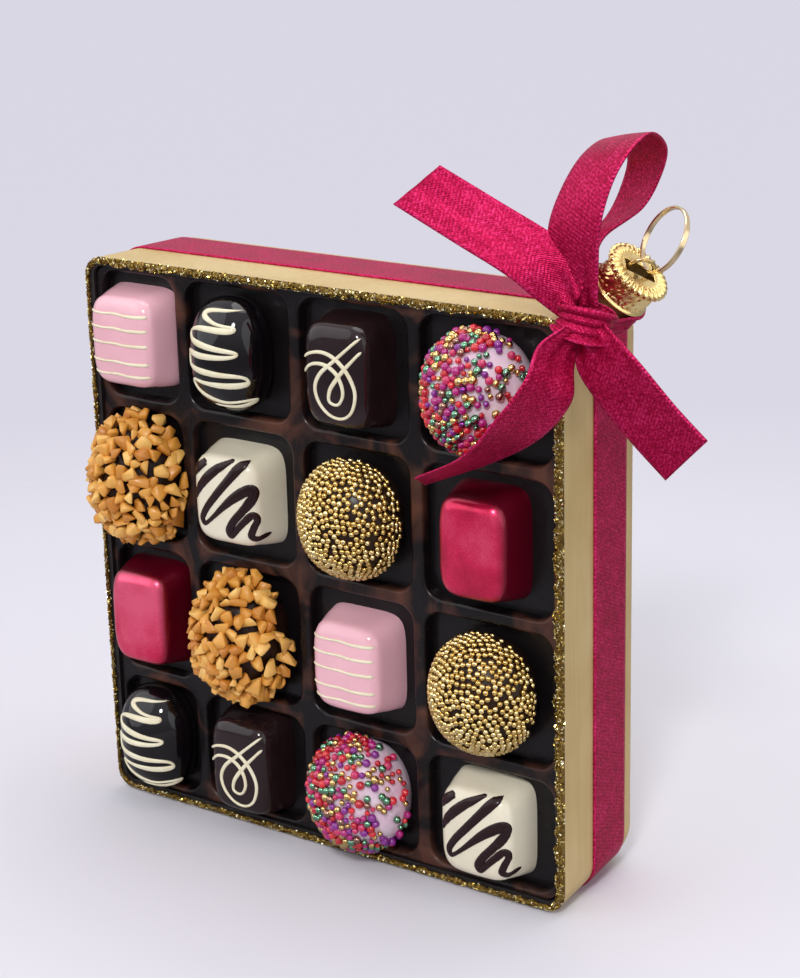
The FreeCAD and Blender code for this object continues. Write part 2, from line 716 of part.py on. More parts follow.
scallop_circle = Part.Circle(Vector(size("rim_radius"), 0, 0), Vector(0, 0, 1), size("scallop_radius"))
scallop_sketch.addGeometry(scallop_circle)
for rule, formula in (
    (Sketcher.Constraint("DistanceX", -1, 1, 0, 3, size("rim_radius")), "rim_radius"),
    (Sketcher.Constraint("Radius", 0, size("scallop_radius")), "scallop_radius"),
):
    place = scallop_sketch.addConstraint(rule)
    scallop_sketch.setExpression(f"Constraints[{place}]", in_sheet(formula))
scallop_sketch.addConstraint(Sketcher.Constraint("PointOnObject", 0, 3, -1))
scallop = add(cap, "Pocket", "Scallop", scallop_sketch, Length="rim_height + cap_metal")
doc.recompute()
scallops = cap.newObject("PartDesign::PolarPattern", "ScallopedRim")
scallops.Originals = [scallop]
scallops.Axis = (scallop_sketch, ["N_Axis"])
scallops.Angle = 360
scallops.Occurrences = scallop_count
cap.Tip = scallops

# Spring clip: one bent wire, its bow above the slot and its two legs down inside the neck.
clip = new_body("spring_clip")
clip_plane = Rotation(ring_normal, along_neck, ring_normal.cross(along_neck), "XYZ")
spine = hanger_sketch(clip, "ClipLine", clip_plane, "cap_top - clip_drop")
span, leg = size("clip_half_span"), size("clip_leg")
tip_out, tip_down = span + size("clip_flare"), leg + size("clip_tip")
spine.addGeometry([
    Part.LineSegment(Vector(-tip_out, -tip_down, 0), Vector(-span, -leg, 0)),
    Part.LineSegment(Vector(-span, -leg, 0), Vector(-span, 0, 0)),
    Part.ArcOfCircle(Part.Circle(Vector(), Vector(0, 0, 1), span), 0, math.pi),
    Part.LineSegment(Vector(span, 0, 0), Vector(span, -leg, 0)),
    Part.LineSegment(Vector(span, -leg, 0), Vector(tip_out, -tip_down, 0)),
])
spine.addConstraint([
    Sketcher.Constraint("Coincident", 0, 2, 1, 1), Sketcher.Constraint("Tangent", 1, 2, 2, 2),
    Sketcher.Constraint("Tangent", 2, 1, 3, 1), Sketcher.Constraint("Coincident", 3, 2, 4, 1),
    Sketcher.Constraint("Coincident", 2, 3, -1, 1)])
for kind, line, end, formula, near in (
    ("DistanceX", 3, 1, "clip_half_span", span), ("DistanceY", 3, 2, "-clip_leg", -leg),
    ("DistanceX", 3, 2, "clip_half_span", span), ("DistanceY", 1, 1, "-clip_leg", -leg),
    ("DistanceX", 4, 2, "clip_half_span + clip_flare", tip_out),
    ("DistanceY", 4, 2, "-clip_leg - clip_tip", -tip_down),
    ("DistanceX", 0, 1, "-clip_half_span - clip_flare", -tip_out),
    ("DistanceY", 0, 1, "-clip_leg - clip_tip", -tip_down), ("DistanceX", 1, 1, "-clip_half_span", -span),
):
    place = spine.addConstraint(Sketcher.Constraint(kind, -1, 1, line, end, near))
    spine.setExpression(f"Constraints[{place}]", in_sheet(formula))
wire_sketch = hanger_sketch(clip, "ClipWire", ring_across, "cap_top - clip_drop - clip_leg - clip_tip")
wire_sketch.addGeometry(Part.Circle(Vector(0, -tip_out, 0), Vector(0, 0, 1), size("clip_wire") / 2))
wire_sketch.addConstraint(Sketcher.Constraint("PointOnObject", 0, 3, -2))
for rule, formula in (
    (Sketcher.Constraint("DistanceY", -1, 1, 0, 3, -tip_out), "-clip_half_span - clip_flare"),
    (Sketcher.Constraint("Radius", 0, size("clip_wire") / 2), "clip_wire / 2"),
):
    place = wire_sketch.addConstraint(rule)
    wire_sketch.setExpression(f"Constraints[{place}]", in_sheet(formula))
clip_pipe = add(clip, "AdditivePipe", "ClipBend", wire_sketch)
clip_pipe.Spine = spine
clip_pipe.Transition = "Right corner"

# Loose ring of flat wire through the clip's bow.
ring = new_body("hanger_ring")
ring_plane = Rotation(ring_normal, ring_up, ring_normal.cross(ring_up), "XYZ")
ring_sketch = hanger_sketch(ring, "RingSection", ring_plane, "cap_top + ring_seat", "ring_radius")
inner, outer = "-(ring_radius - ring_wire / 2)", "-(ring_radius + ring_wire / 2)"
ring_corners = (
    ("-ring_band / 2", f"{outer} + ring_edge"), ("-ring_band / 2 + ring_edge", outer),
    ("ring_band / 2 - ring_edge", outer), ("ring_band / 2", f"{outer} + ring_edge"),
    ("ring_band / 2", f"{inner} - ring_edge"), ("ring_band / 2 - ring_edge", inner),
    ("-ring_band / 2 + ring_edge", inner), ("-ring_band / 2", f"{inner} - ring_edge"))
closed_outline(ring_sketch, ring_corners)
revolve(ring, "Revolution", "RingBand", ring_sketch)

doc.recompute()

for thing in doc.Objects:
    if "Invalid" in thing.State or "Error" in thing.State:
        raise RuntimeError(f"{thing.Label} did not build: {thing.State}")
os.makedirs("parts", exist_ok=True)
for label, thing in nodes.items():
    shape = thing.Shape
    if shape.isNull() or not shape.isValid():
        raise RuntimeError(f"{label} has no valid shape")
    shape.exportStep(f"parts/{label}.step")
    print(label, len(shape.Solids), round(shape.Volume, 2))
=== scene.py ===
import json
import math
import random

import bmesh
import bpy
from mathutils import Matrix, Vector, noise
from mathutils.bvhtree import BVHTree

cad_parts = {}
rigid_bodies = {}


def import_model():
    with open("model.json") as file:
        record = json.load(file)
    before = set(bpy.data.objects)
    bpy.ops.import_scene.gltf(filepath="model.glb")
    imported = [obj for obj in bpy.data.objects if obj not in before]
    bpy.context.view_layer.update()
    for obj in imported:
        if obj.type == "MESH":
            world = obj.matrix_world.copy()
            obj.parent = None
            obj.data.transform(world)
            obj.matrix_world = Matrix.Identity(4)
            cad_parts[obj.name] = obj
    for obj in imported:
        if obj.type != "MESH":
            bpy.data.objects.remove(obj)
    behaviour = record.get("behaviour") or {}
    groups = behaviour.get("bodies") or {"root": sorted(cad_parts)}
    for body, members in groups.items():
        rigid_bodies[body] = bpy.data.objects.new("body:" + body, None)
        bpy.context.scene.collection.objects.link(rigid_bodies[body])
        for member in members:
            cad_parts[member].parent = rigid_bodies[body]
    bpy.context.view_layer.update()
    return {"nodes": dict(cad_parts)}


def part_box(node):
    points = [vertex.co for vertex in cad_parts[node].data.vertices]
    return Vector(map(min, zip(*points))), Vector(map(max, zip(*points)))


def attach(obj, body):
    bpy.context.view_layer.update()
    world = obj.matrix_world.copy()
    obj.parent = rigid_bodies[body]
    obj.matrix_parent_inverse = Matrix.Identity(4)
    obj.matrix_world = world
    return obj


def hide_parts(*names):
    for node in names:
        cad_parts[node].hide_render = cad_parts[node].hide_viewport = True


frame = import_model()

nodes = frame["nodes"]
mm = 0.001
fullTurn = 2 * math.pi
mainBody = "ornament"


# small helpers for node trees

def paint(red, green, blue):  # a screen colour, as the linear colour that sockets take
    def channel(value):
        value /= 255
        return value / 12.92 if value <= 0.04045 else ((value + 0.055) / 1.055) ** 2.4
    return (channel(red), channel(green), channel(blue), 1.0)


def addNode(tree, kind, inputs=None, **settings):
    node = tree.nodes.new(kind)
    for name, value in settings.items():
        setattr(node, name, value)
    for name, value in (inputs or {}).items():
        if isinstance(value, bpy.types.NodeSocket):
            tree.links.new(value, node.inputs[name])
        else:
            node.inputs[name].default_value = value
    return node


def addMath(tree, operation, first, second=0.0, third=0.0):
    return addNode(tree, "ShaderNodeMath", {0: first, 1: second, 2: third}, operation=operation).outputs[0]


def weighted(tree, first, firstShare, second, secondShare):
    return addMath(tree, "MULTIPLY_ADD", first, firstShare, addMath(tree, "MULTIPLY", second, secondShare))


def vectorLength(tree, vector):
    return addNode(tree, "ShaderNodeVectorMath", {0: vector}, operation="LENGTH").outputs["Value"]


def mixColours(tree, factor, *colours):  # two sockets or screen colours
    first, second = (paint(*colour) if isinstance(colour, tuple) else colour for colour in colours)
    return addNode(tree, "ShaderNodeMix", {0: factor, 6: first, 7: second}, data_type="RGBA").outputs[2]


def mixShaders(tree, factor, first, second):
    return addNode(tree, "ShaderNodeMixShader", {0: factor, 1: first, 2: second}).outputs[0]


def colourRamp(tree, factor, stops, stepped=False):  # stops: (place, screen colour)
    node = addNode(tree, "ShaderNodeValToRGB", {0: factor})
    ramp = node.color_ramp
    ramp.interpolation = "CONSTANT" if stepped else "LINEAR"
    while len(ramp.elements) < len(stops):
        ramp.elements.new(0.5)
    for element, (place, colour) in zip(ramp.elements, stops):
        element.position = place
        element.color = paint(*colour)
    return node.outputs[0]


def objectCoords(tree):
    return addNode(tree, "ShaderNodeTexCoord").outputs["Object"]


def splitVector(tree, vector):
    return addNode(tree, "ShaderNodeSeparateXYZ", {0: vector}).outputs


def cloudy(tree, coords, scale, detail, distortion=0.0):
    return addNode(tree, "ShaderNodeTexNoise", {
        "Vector": coords, "Scale": scale, "Detail": detail, "Distortion": distortion}).outputs[0]


def remap(tree, value, fromLow=0.0, fromHigh=1.0, toLow=0.0, toHigh=1.0, curve="LINEAR"):
    return addNode(tree, "ShaderNodeMapRange", {
        "Value": value, "From Min": fromLow, "From Max": fromHigh, "To Min": toLow, "To Max": toHigh},
        interpolation_type=curve).outputs[0]


def bumped(tree, height, strength, depth):
    return addNode(tree, "ShaderNodeBump", {
        "Height": height, "Strength": strength, "Distance": depth}).outputs[0]


def newTree(name, kind, inputs, outputs):  # a node group with named sockets
    tree = bpy.data.node_groups.new(name, kind)
    for side, sockets in (("INPUT", inputs), ("OUTPUT", outputs)):
        for socket, socketKind in sockets.items():
            tree.interface.new_socket(name=socket, in_out=side, socket_type="NodeSocket" + socketKind)
    return tree, addNode(tree, "NodeGroupInput").outputs, addNode(tree, "NodeGroupOutput").inputs


def newMaterial(name, **sockets):  # socket names have their spaces written as underscores
    material = bpy.data.materials.new(name)
    material.use_nodes = True
    tree = material.node_tree
    shader = tree.nodes["Principled BSDF"]
    for socket, value in sockets.items():
        shader.inputs[socket.replace("_", " ")].default_value = value
    return material, tree, shader


def feed(tree, shader, **sockets):
    for socket, value in sockets.items():
        tree.links.new(value, shader.inputs[socket.replace("_", " ")])


# small helpers for meshes and pieces

def newPiece(name, data):
    piece = bpy.data.objects.new(name, data)
    bpy.context.scene.collection.objects.link(piece)
    return piece


def pieceName(node):  # a node's name in camelCase
    first, *others = node.split("_")
    return first + "".join(word.title() for word in others)


def pieceFrom(name, vertices, faces, material):
    mesh = bpy.data.meshes.new(name)
    mesh.from_pydata(vertices, [], faces)
    mesh.materials.append(material)
    mesh.polygons.foreach_set("use_smooth", [True] * len(mesh.polygons))
    mesh.update()
    return newPiece(name, mesh)


def meshFrom(shape, name):
    mesh = bpy.data.meshes.new(name)
    shape.to_mesh(mesh)
    shape.free()
    return mesh


def turnOutwards(piece):
    shape = bmesh.new()
    shape.from_mesh(piece.data)
    bmesh.ops.remove_doubles(shape, verts=shape.verts, dist=0.001 * mm)
    bmesh.ops.recalc_face_normals(shape, faces=shape.faces)
    shape.to_mesh(piece.data)
    shape.free()


def closedPiece(name, vertices, faces, material):
    piece = pieceFrom(name, vertices, faces, material)
    turnOutwards(piece)
    return piece


def settled(piece):  # the piece with its modifiers made into plain mesh
    name = piece.name
    piece.name = name + "Raw"
    depsgraph = bpy.context.evaluated_depsgraph_get()
    mesh = bpy.data.meshes.new_from_object(piece.evaluated_get(depsgraph))
    mesh.name = name
    bpy.data.objects.remove(piece)
    return newPiece(name, mesh)


def standFor(piece, slot, *replaced, body=mainBody):
    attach(piece, body)
    if replaced:
        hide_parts(*replaced)
    return piece


def gridFaces(rows, columns, first=0, joinRows=False, joinColumns=True):
    faces = []
    for row in range(rows if joinRows else rows - 1):
        here, there = first + row * columns, first + (row + 1) % rows * columns
        for step in range(columns if joinColumns else columns - 1):
            following = (step + 1) % columns
            faces.append((here + step, here + following, there + following, there + step))
    return faces


def along(points, steps):  # a smooth line through points, steps to each span
    ends = [points[0] * 2 - points[1], *points, points[-1] * 2 - points[-2]]
    line = []
    for before, here, there, after in zip(ends, ends[1:], ends[2:], ends[3:]):
        for step in range(steps):
            t = step / steps
            line.append(
                (here * 2 + (there - before) * t + (before * 2 - here * 5 + there * 4 - after) * t ** 2
                 + (here * 3 - before - there * 3 + after) * t ** 3) / 2)
    return line + [points[-1]]


def smoothStep(low, high, value):
    share = min(max((value - low) / (high - low), 0), 1)
    return share * share * (3 - 2 * share)


# camera at the photograph's angle

cameraView = {
    "turn": 35.152, "rise": 17.841, "roll": -1.449,  # degrees
    "target": (0.0172, -0.013, 0.0685), "distance": 0.372, "nearest": 0.01,
    "focalPixels": 2300, "longSidePixels": 978, "sensor": 36,
}


def placeCamera(view):
    turn, rise, roll = (math.radians(view[key]) for key in ("turn", "rise", "roll"))
    turned = Matrix.Rotation(turn, 4, "Z") @ Matrix.Rotation(math.pi / 2 - rise, 4, "X")
    back = Matrix.Translation((0, 0, view["distance"]))
    camera = newPiece("photoCamera", bpy.data.cameras.new("photoCamera"))
    camera.matrix_world = (
        Matrix.Translation(view["target"]) @ turned @ Matrix.Rotation(roll, 4, "Z") @ back)
    camera.data.sensor_width = view["sensor"]
    camera.data.lens = view["focalPixels"] * view["sensor"] / view["longSidePixels"]
    camera.data.clip_start = view["nearest"]
    bpy.context.scene.camera = camera


placeCamera(cameraView)
print("camera placed")


# plain pale stage and soft light

stageLook = {
    "floorColour": (217, 215, 225), "floorMirrored": (166, 164, 172), "floorRadius": 1.6, "floorSides": 96,
    "floorDrop": 0.05 * mm, "fadeFrom": 0.09, "fadeTo": 0.30, "skyLight": 0.42,
    # what the camera sees behind the floor's edge, by how steeply it looks down
    "behind": ((0.0, (217, 215, 227)), (0.27, (219, 216, 229)), (0.35, (231, 230, 240)),
               (0.42, (240, 239, 247)), (0.55, (231, 229, 241))),
    # what shiny pieces mirror, from below to above
    "mirrored": ((0.0, (160, 158, 166)), (0.40, (140, 138, 146)), (0.62, (200, 198, 206)),
                 (1.0, (250, 248, 254))),
    # place, size and strength of each lamp
    "lamps": {
        "keyLamp": ((0.30, -0.62, 0.62), 0.16, 3.4),
        "leftLamp": ((-0.55, -0.42, 0.45), 1.00, 2.5),
        "rightLamp": ((0.75, -0.05, 0.30), 0.80, 1.4),
        "topLamp": ((0.05, 0.20, 0.80), 0.70, 3.0),
    },
    "lampsAimAt": (0.0, 0.0, 0.05),
}


def buildFloor(look):  # fades out into the room round it
    shape = bmesh.new()
    bmesh.ops.create_circle(shape, cap_ends=True, segments=look["floorSides"], radius=look["floorRadius"])
    mesh = meshFrom(shape, "floor")
    mesh.transform(Matrix.Translation((0, 0, -look["floorDrop"])))
    material, tree, shader = newMaterial("paleFloor", Roughness=0.6, Specular_IOR_Level=0.2)
    glossy = addNode(tree, "ShaderNodeLightPath").outputs["Is Glossy Ray"]
    feed(tree, shader, Base_Color=mixColours(tree, glossy, look["floorColour"], look["floorMirrored"]))
    fade = remap(
        tree, vectorLength(tree, objectCoords(tree)), look["fadeFrom"], look["fadeTo"], curve="SMOOTHSTEP")
    clear = addNode(tree, "ShaderNodeBsdfTransparent")
    mixed = mixShaders(tree, fade, shader.outputs[0], clear.outputs[0])
    tree.links.new(mixed, tree.nodes["Material Output"].inputs["Surface"])
    mesh.materials.append(material)
    newPiece("floor", mesh)


def buildRoom(look):
    world = bpy.data.worlds.new("paleRoom")
    bpy.context.scene.world = world
    world.use_nodes = True
    tree = world.node_tree
    lit = tree.nodes["Background"]
    lit.inputs["Strength"].default_value = look["skyLight"]
    lit.inputs["Color"].default_value = (1, 1, 1, 1)
    upwards = splitVector(tree, addNode(tree, "ShaderNodeTexCoord").outputs["Generated"])["Z"]
    steep = addMath(tree, "MULTIPLY", upwards, -1.0)
    height = addMath(tree, "MULTIPLY_ADD", upwards, 0.5, 0.5)
    behind, mirrored = (
        addNode(tree, "ShaderNodeBackground", {"Color": colourRamp(tree, factor, look[key])}).outputs[0]
        for factor, key in ((steep, "behind"), (height, "mirrored")))
    rays = addNode(tree, "ShaderNodeLightPath").outputs
    shows = addMath(tree, "MAXIMUM", rays["Is Camera Ray"], rays["Is Transmission Ray"])
    direct = mixShaders(tree, shows, lit.outputs[0], behind)
    mixed = mixShaders(tree, rays["Is Glossy Ray"], direct, mirrored)
    tree.links.new(mixed, tree.nodes["World Output"].inputs["Surface"])


def hangLamps(look):
    for name, (place, width, strength) in look["lamps"].items():
        lamp = bpy.data.lights.new(name, "AREA")
        lamp.shape = "DISK"
        lamp.size = width
        lamp.energy = strength
        holder = newPiece(name, lamp)
        holder.location = place
        aim = Vector(look["lampsAimAt"]) - Vector(place)
        holder.rotation_euler = aim.to_track_quat("-Z", "Y").to_euler()


bpy.context.scene.view_settings.view_transform = "Standard"
buildFloor(stageLook)
buildRoom(stageLook)
hangLamps(stageLook)
print("stage and lamps ready")


# painted finishes

paintSkin = {"patchEdges": (0.38, 0.72), "patchRoughness": 0.6, "glossScale": 420.0, "glossEdges": (0.3, 0.7),
             "waveScale": 260.0, "waveDepth": 0.4 * mm}


def makeHandPaint(skin):  # brushed-on paint: soft patches of shade, uneven gloss and a wavy skin
    group, given, result = newTree(
        "handPaint", "ShaderNodeTree",
        {"Tint": "Color", "Shade": "Color", "Patches": "Float", "Shade Share": "Float", "Gloss Low": "Float",
         "Gloss High": "Float", "Waves": "Float"},
        {"Colour": "Color", "Roughness": "Float", "Normal": "Vector"})
    coords = objectCoords(group)
    patches = addNode(group, "ShaderNodeTexNoise", {
        "Vector": coords, "Scale": given["Patches"], "Detail": 4.0, "Roughness": skin["patchRoughness"]})
    shade = remap(group, patches.outputs[0], *skin["patchEdges"], toHigh=given["Shade Share"])
    gloss = cloudy(group, coords, skin["glossScale"], 3.0)
    waves = cloudy(group, coords, skin["waveScale"], 2.0)
    for name, socket in (
            ("Colour", mixColours(group, shade, given["Tint"], given["Shade"])),
            ("Roughness", remap(group, gloss, *skin["glossEdges"], given["Gloss Low"], given["Gloss High"])),
            ("Normal", bumped(group, waves, given["Waves"], skin["waveDepth"]))):
        group.links.new(socket, result[name])
    return group


handPaint = makeHandPaint(paintSkin)


def handPainted(name, tint, shade, patches=150.0, shadeShare=0.5, gloss=(0.1, 0.25), waves=0.15, **sockets):
    material, tree, shader = newMaterial(name, **sockets)
    effect = addNode(tree, "ShaderNodeGroup", {
        "Tint": paint(*tint), "Shade": paint(*shade), "Patches": patches, "Shade Share": shadeShare,
        "Gloss Low": gloss[0], "Gloss High": gloss[1], "Waves": waves}, node_tree=handPaint).outputs
    feed(tree, shader, Base_Color=effect["Colour"], Roughness=effect["Roughness"], Normal=effect["Normal"])
    return material


glazed = {"waves": 0.1, "Coat_Weight": 0.3, "Coat_Roughness": 0.06, "Specular_IOR_Level": 0.4}
pinkPaint = handPainted("pinkPaint", (238, 184, 196), (230, 170, 186), 90.0, 0.6, **glazed)
creamPaint = handPainted("creamPaint", (232, 224, 203), (218, 207, 180), 80.0, 0.6, **glazed)
icingPaint = handPainted(
    "icingPaint", (236, 229, 202), (222, 209, 172), 260.0, 0.7, (0.2, 0.35), Specular_IOR_Level=0.4)
darkIcingPaint = handPainted(
    "darkIcingPaint", (40, 20, 23), (27, 13, 17), 260.0, gloss=(0.15, 0.3), Specular_IOR_Level=0.25)
darkPaint = handPainted(
    "darkPaint", (30, 18, 21), (46, 29, 30), 70.0, 0.7, (0.06, 0.16),
    Coat_Weight=0.2, Coat_Roughness=0.04, Specular_IOR_Level=0.3)
ovalPaint = handPainted(
    "ovalPaint", (11, 9, 12), (24, 16, 20), 70.0, 0.6, (0.04, 0.1),
    Coat_Weight=0.3, Coat_Roughness=0.03, Specular_IOR_Level=0.3)
coreDarkPaint = handPainted(
    "coreDarkPaint", (34, 18, 13), (58, 34, 20), 200.0, gloss=(0.25, 0.45), Specular_IOR_Level=0.25)
coreLilacPaint = handPainted(
    "coreLilacPaint", (236, 224, 236), (226, 170, 200), 110.0, 0.8, (0.15, 0.3), Coat_Weight=0.3)

trayLook = {
    "ribFoot": -10.6 * mm, "ribTop": -12.3 * mm,  # depths between which the coppery colour comes up
    "dark": (12, 9, 10), "cloud": (24, 19, 22), "copper": (96, 58, 44),
    "patchScale": 120.0, "patchTwist": 0.8, "copperPatchFrom": 0.46, "copperPatchFull": 0.68, "copperPatchShare": 0.85,
    "cloudScale": 55.0, "gloss": (0.14, 0.5), "waveScale": 170.0, "waves": 0.5, "waveDepth": 0.8 * mm,
}


def makeTray(look):  # near-black gloss, coppery in patches along the tops of the ribs
    material, tree, shader = newMaterial(
        "trayPaint", Specular_IOR_Level=0.22, Coat_Weight=0.12, Coat_Roughness=0.1)
    coords = objectCoords(tree)
    onTop = remap(tree, splitVector(tree, coords)["Y"], look["ribFoot"], look["ribTop"])
    patches = cloudy(tree, coords, look["patchScale"], 5.0, look["patchTwist"])
    copperPatches = remap(tree, patches, look["copperPatchFrom"], look["copperPatchFull"], toHigh=look["copperPatchShare"])
    dark = mixColours(tree, cloudy(tree, coords, look["cloudScale"], 3.0), look["dark"], look["cloud"])
    feed(tree, shader,
         Base_Color=mixColours(tree, addMath(tree, "MULTIPLY", copperPatches, onTop), dark, look["copper"]),
         Roughness=remap(tree, patches, 0.0, 1.0, *look["gloss"]),
         Normal=bumped(tree, cloudy(tree, coords, look["waveScale"], 2.0), look["waves"], look["waveDepth"]))
    return material


foilLook = {
    # the flanks' darker colour is a painted dark reflection
    "flank": (120, 4, 36), "paintedDarkReflectionTo": -0.45, "frontFrom": -0.92,  # by how far a face looks forward
    "front": ((0.34, (176, 8, 54)), (0.44, (226, 36, 88)), (0.57, (250, 98, 136))),
    "cloudScale": 130.0, "grainScale": 3200.0, "grain": 0.25, "wornScale": 48.0, "worn": 0.6,
    "gloss": (0.22, 0.42), "waves": 0.25, "waveDepth": 0.5 * mm,
}


def makeFoil(look):  # satin red foil paint, finely grained, worn in patches, with a painted dark reflection on the flanks
    material, tree, shader = newMaterial(
        "redFoil", Metallic=0.6, Coat_Weight=0.3, Coat_Roughness=0.1, Specular_IOR_Level=0.4)
    facing = addNode(tree, "ShaderNodeTexCoord").outputs["Normal"]
    # painted dark reflection: faces turned away from the front take the darker flank colour
    front = remap(tree, splitVector(tree, facing)["Y"], look["paintedDarkReflectionTo"], look["frontFrom"])
    coords = objectCoords(tree)
    clouds = cloudy(tree, coords, look["cloudScale"], 4.0)
    grain = cloudy(tree, coords, look["grainScale"], 2.0)
    tone = weighted(tree, clouds, 1 - look["grain"], grain, look["grain"])
    tone = weighted(tree, cloudy(tree, coords, look["wornScale"], 3.0), look["worn"], tone, 1 - look["worn"])
    feed(tree, shader,
         Base_Color=mixColours(tree, front, look["flank"], colourRamp(tree, tone, look["front"])),
         Roughness=remap(tree, clouds, 0.0, 1.0, *look["gloss"]),
         Normal=bumped(tree, clouds, look["waves"], look["waveDepth"]))
    return material


caseLook = {
    "halfWidth": 48.0 * mm, "middleHeight": 50.4 * mm, "halfHeight": 50.0 * mm,
    "corner": 4.2 * mm,  # the corners' radius near the front
    "insideBy": 0.8 * mm, "insideBefore": -5.0 * mm, "rimFrom": -12.9 * mm,  # where the tray's paint laps on
    "gold": ((0.36, (204, 176, 119)), (0.5, (213, 187, 131)), (0.64, (222, 198, 145))), "dark": (22, 16, 18),
    "streakScale": (1100.0, 1100.0, 45.0), "streaks": 0.3, "cloudScale": 60.0, "metal": 0.6,
    "gloss": (0.45, 0.55), "brushed": 0.08, "brushDepth": 0.1 * mm,
}


def makeCaseGold(look):  # champagne gold brushed along the sides, dark inside and on the front rim
    material, tree, shader = newMaterial("caseGold", Coat_Weight=0.1, Coat_Roughness=0.3)
    coords = objectCoords(tree)
    x, y, z = splitVector(tree, coords)
    stretched = addNode(tree, "ShaderNodeMapping", {"Vector": coords, "Scale": look["streakScale"]})
    streaks = cloudy(tree, stretched.outputs[0], 1.0, 6.0)
    clouds = cloudy(tree, coords, look["cloudScale"], 5.0)
    tone = weighted(tree, streaks, look["streaks"], clouds, 1 - look["streaks"])
    gold = colourRamp(tree, tone, look["gold"])
    fromMiddle = addMath(tree, "SUBTRACT", z, look["middleHeight"])
    sideOff, endOff = (
        addMath(tree, "SUBTRACT", addMath(tree, "ABSOLUTE", place), half - look["corner"])
        for place, half in ((x, look["halfWidth"]), (fromMiddle, look["halfHeight"])))
    past = addNode(tree, "ShaderNodeCombineXYZ", {
        "X": addMath(tree, "MAXIMUM", sideOff, 0.0), "Y": addMath(tree, "MAXIMUM", endOff, 0.0)}).outputs[0]
    within = addMath(tree, "MINIMUM", addMath(tree, "MAXIMUM", sideOff, endOff), 0.0)
    outline = addMath(tree, "ADD", vectorLength(tree, past), within)
    inside = addMath(tree, "LESS_THAN", outline, look["corner"] - look["insideBy"])
    inside = addMath(tree, "MULTIPLY", inside, addMath(tree, "LESS_THAN", y, look["insideBefore"]))
    rim = addMath(tree, "MAXIMUM", inside, addMath(tree, "LESS_THAN", y, look["rimFrom"]))
    feed(tree, shader,
         Base_Color=mixColours(tree, rim, gold, look["dark"]),
         Metallic=addMath(tree, "MULTIPLY_ADD", rim, -look["metal"], look["metal"]),
         Roughness=remap(tree, streaks, 0.0, 1.0, *look["gloss"]),
         Normal=bumped(tree, streaks, look["brushed"], look["brushDepth"]))
    return material


metalSpots = {"scale": 600.0, "smoothest": 0.6, "roughest": 1.5}  # shares of a metal's own roughness


def makeBrightGold(name, light, deep, rough):
    material, tree, shader = newMaterial(name, Metallic=1.0)
    spots = cloudy(tree, objectCoords(tree), metalSpots["scale"], 4.0)
    low, high = rough * metalSpots["smoothest"], rough * metalSpots["roughest"]
    feed(tree, shader, Base_Color=mixColours(tree, spots, light, deep),
         Roughness=remap(tree, spots, toLow=low, toHigh=high))
    return material


grainTint = "grainTint"  # the attribute that holds each grain's own number


def makeGrains(name, stops, stepped=False, metalFrom=None, **sockets):  # each grain its own colour
    material, tree, shader = newMaterial(name, **sockets)
    tint = addNode(tree, "ShaderNodeAttribute", attribute_name=grainTint).outputs["Fac"]
    feed(tree, shader, Base_Color=colourRamp(tree, tint, stops, stepped))
    if metalFrom:
        feed(tree, shader, Metallic=addMath(tree, "GREATER_THAN", tint, metalFrom))
    return material


def makeGritty(material, scale, strength, depth):  # a fine rough skin
    tree = material.node_tree
    grit = cloudy(tree, objectCoords(tree), scale, 3.0)
    feed(tree, tree.nodes["Principled BSDF"], Normal=bumped(tree, grit, strength, depth))
    return material


trayPaint = makeTray(trayLook)
redFoil = makeFoil(foilLook)
caseGold = makeCaseGold(caseLook)
capGold = makeBrightGold("capGold", (255, 238, 176), (255, 216, 128), 0.25)
ringGold = makeBrightGold("ringGold", (246, 226, 184), (222, 194, 144), 0.2)
clipWire = makeBrightGold("clipWire", (222, 196, 140), (186, 158, 104), 0.3)
goldBead = makeGrains(
    "goldBead", ((0.0, (206, 174, 104)), (0.5, (228, 200, 132)), (1.0, (250, 230, 172))),
    Metallic=1.0, Roughness=0.2)
sprinkleBead = makeGrains(
    "sprinkleBead", (
        (0.0, (186, 10, 32)), (0.14, (216, 36, 50)), (0.24, (200, 40, 96)), (0.32, (172, 22, 116)),
        (0.44, (132, 34, 138)), (0.54, (222, 186, 116)), (0.76, (112, 166, 132)), (0.94, (164, 120, 104))),
    stepped=True, metalFrom=0.54, Roughness=0.14, Coat_Weight=0.8, Coat_Roughness=0.05)
choppedNut = makeGritty(makeGrains(
    "choppedNut", ((0.0, (190, 118, 36)), (0.45, (222, 156, 62)), (1.0, (242, 194, 108))),
    Roughness=0.45, Coat_Weight=0.25, Coat_Roughness=0.2), 1500.0, 0.35, 0.2 * mm)
glitterFlake = makeGrains(
    "glitterFlake", (
        (0.0, (84, 66, 26)), (0.35, (176, 148, 70)), (0.7, (240, 218, 136)), (1.0, (255, 252, 220))),
    Metallic=1.0, Roughness=0.2)
glitterBed = handPainted(
    "glitterBed", (132, 104, 48), (58, 42, 20), 900.0, gloss=(0.3, 0.5), waves=0.6, Metallic=0.7)
print("painted finishes ready")


# moulded chocolates

noise.seed_set(16)  # the same uneven skin each run
blockForm = {
    "around": 72, "draft": 0.95 * mm, "round": 2.3 * mm, "roundSteps": 8, "crown": 0.45 * mm,
    "crownRings": (0.86, 0.68, 0.5, 0.32, 0.15), "squareness": 5.5, "softerInFront": 1.2,
    "wobble": 0.14 * mm, "wobbleScale": 150.0, "wobbleStep": 7.3,
}
domeForm = {
    "around": 64, "rings": 26, "seat": 3.2 * mm, "stillFoot": 0.6,
    "wobble": 0.12 * mm, "wobbleScale": 130.0, "wobbleStep": 5.1,
}


def superRing(halfWidth, halfHeight, exponent, count, share=1.0):
    ring = []
    for index in range(count):
        angle = fullTurn * index / count
        c, s = math.cos(angle), math.sin(angle)
        ring.append((halfWidth * math.copysign(abs(c) ** (2 / exponent), c) * share,
                     halfHeight * math.copysign(abs(s) ** (2 / exponent), s) * share))
    return ring


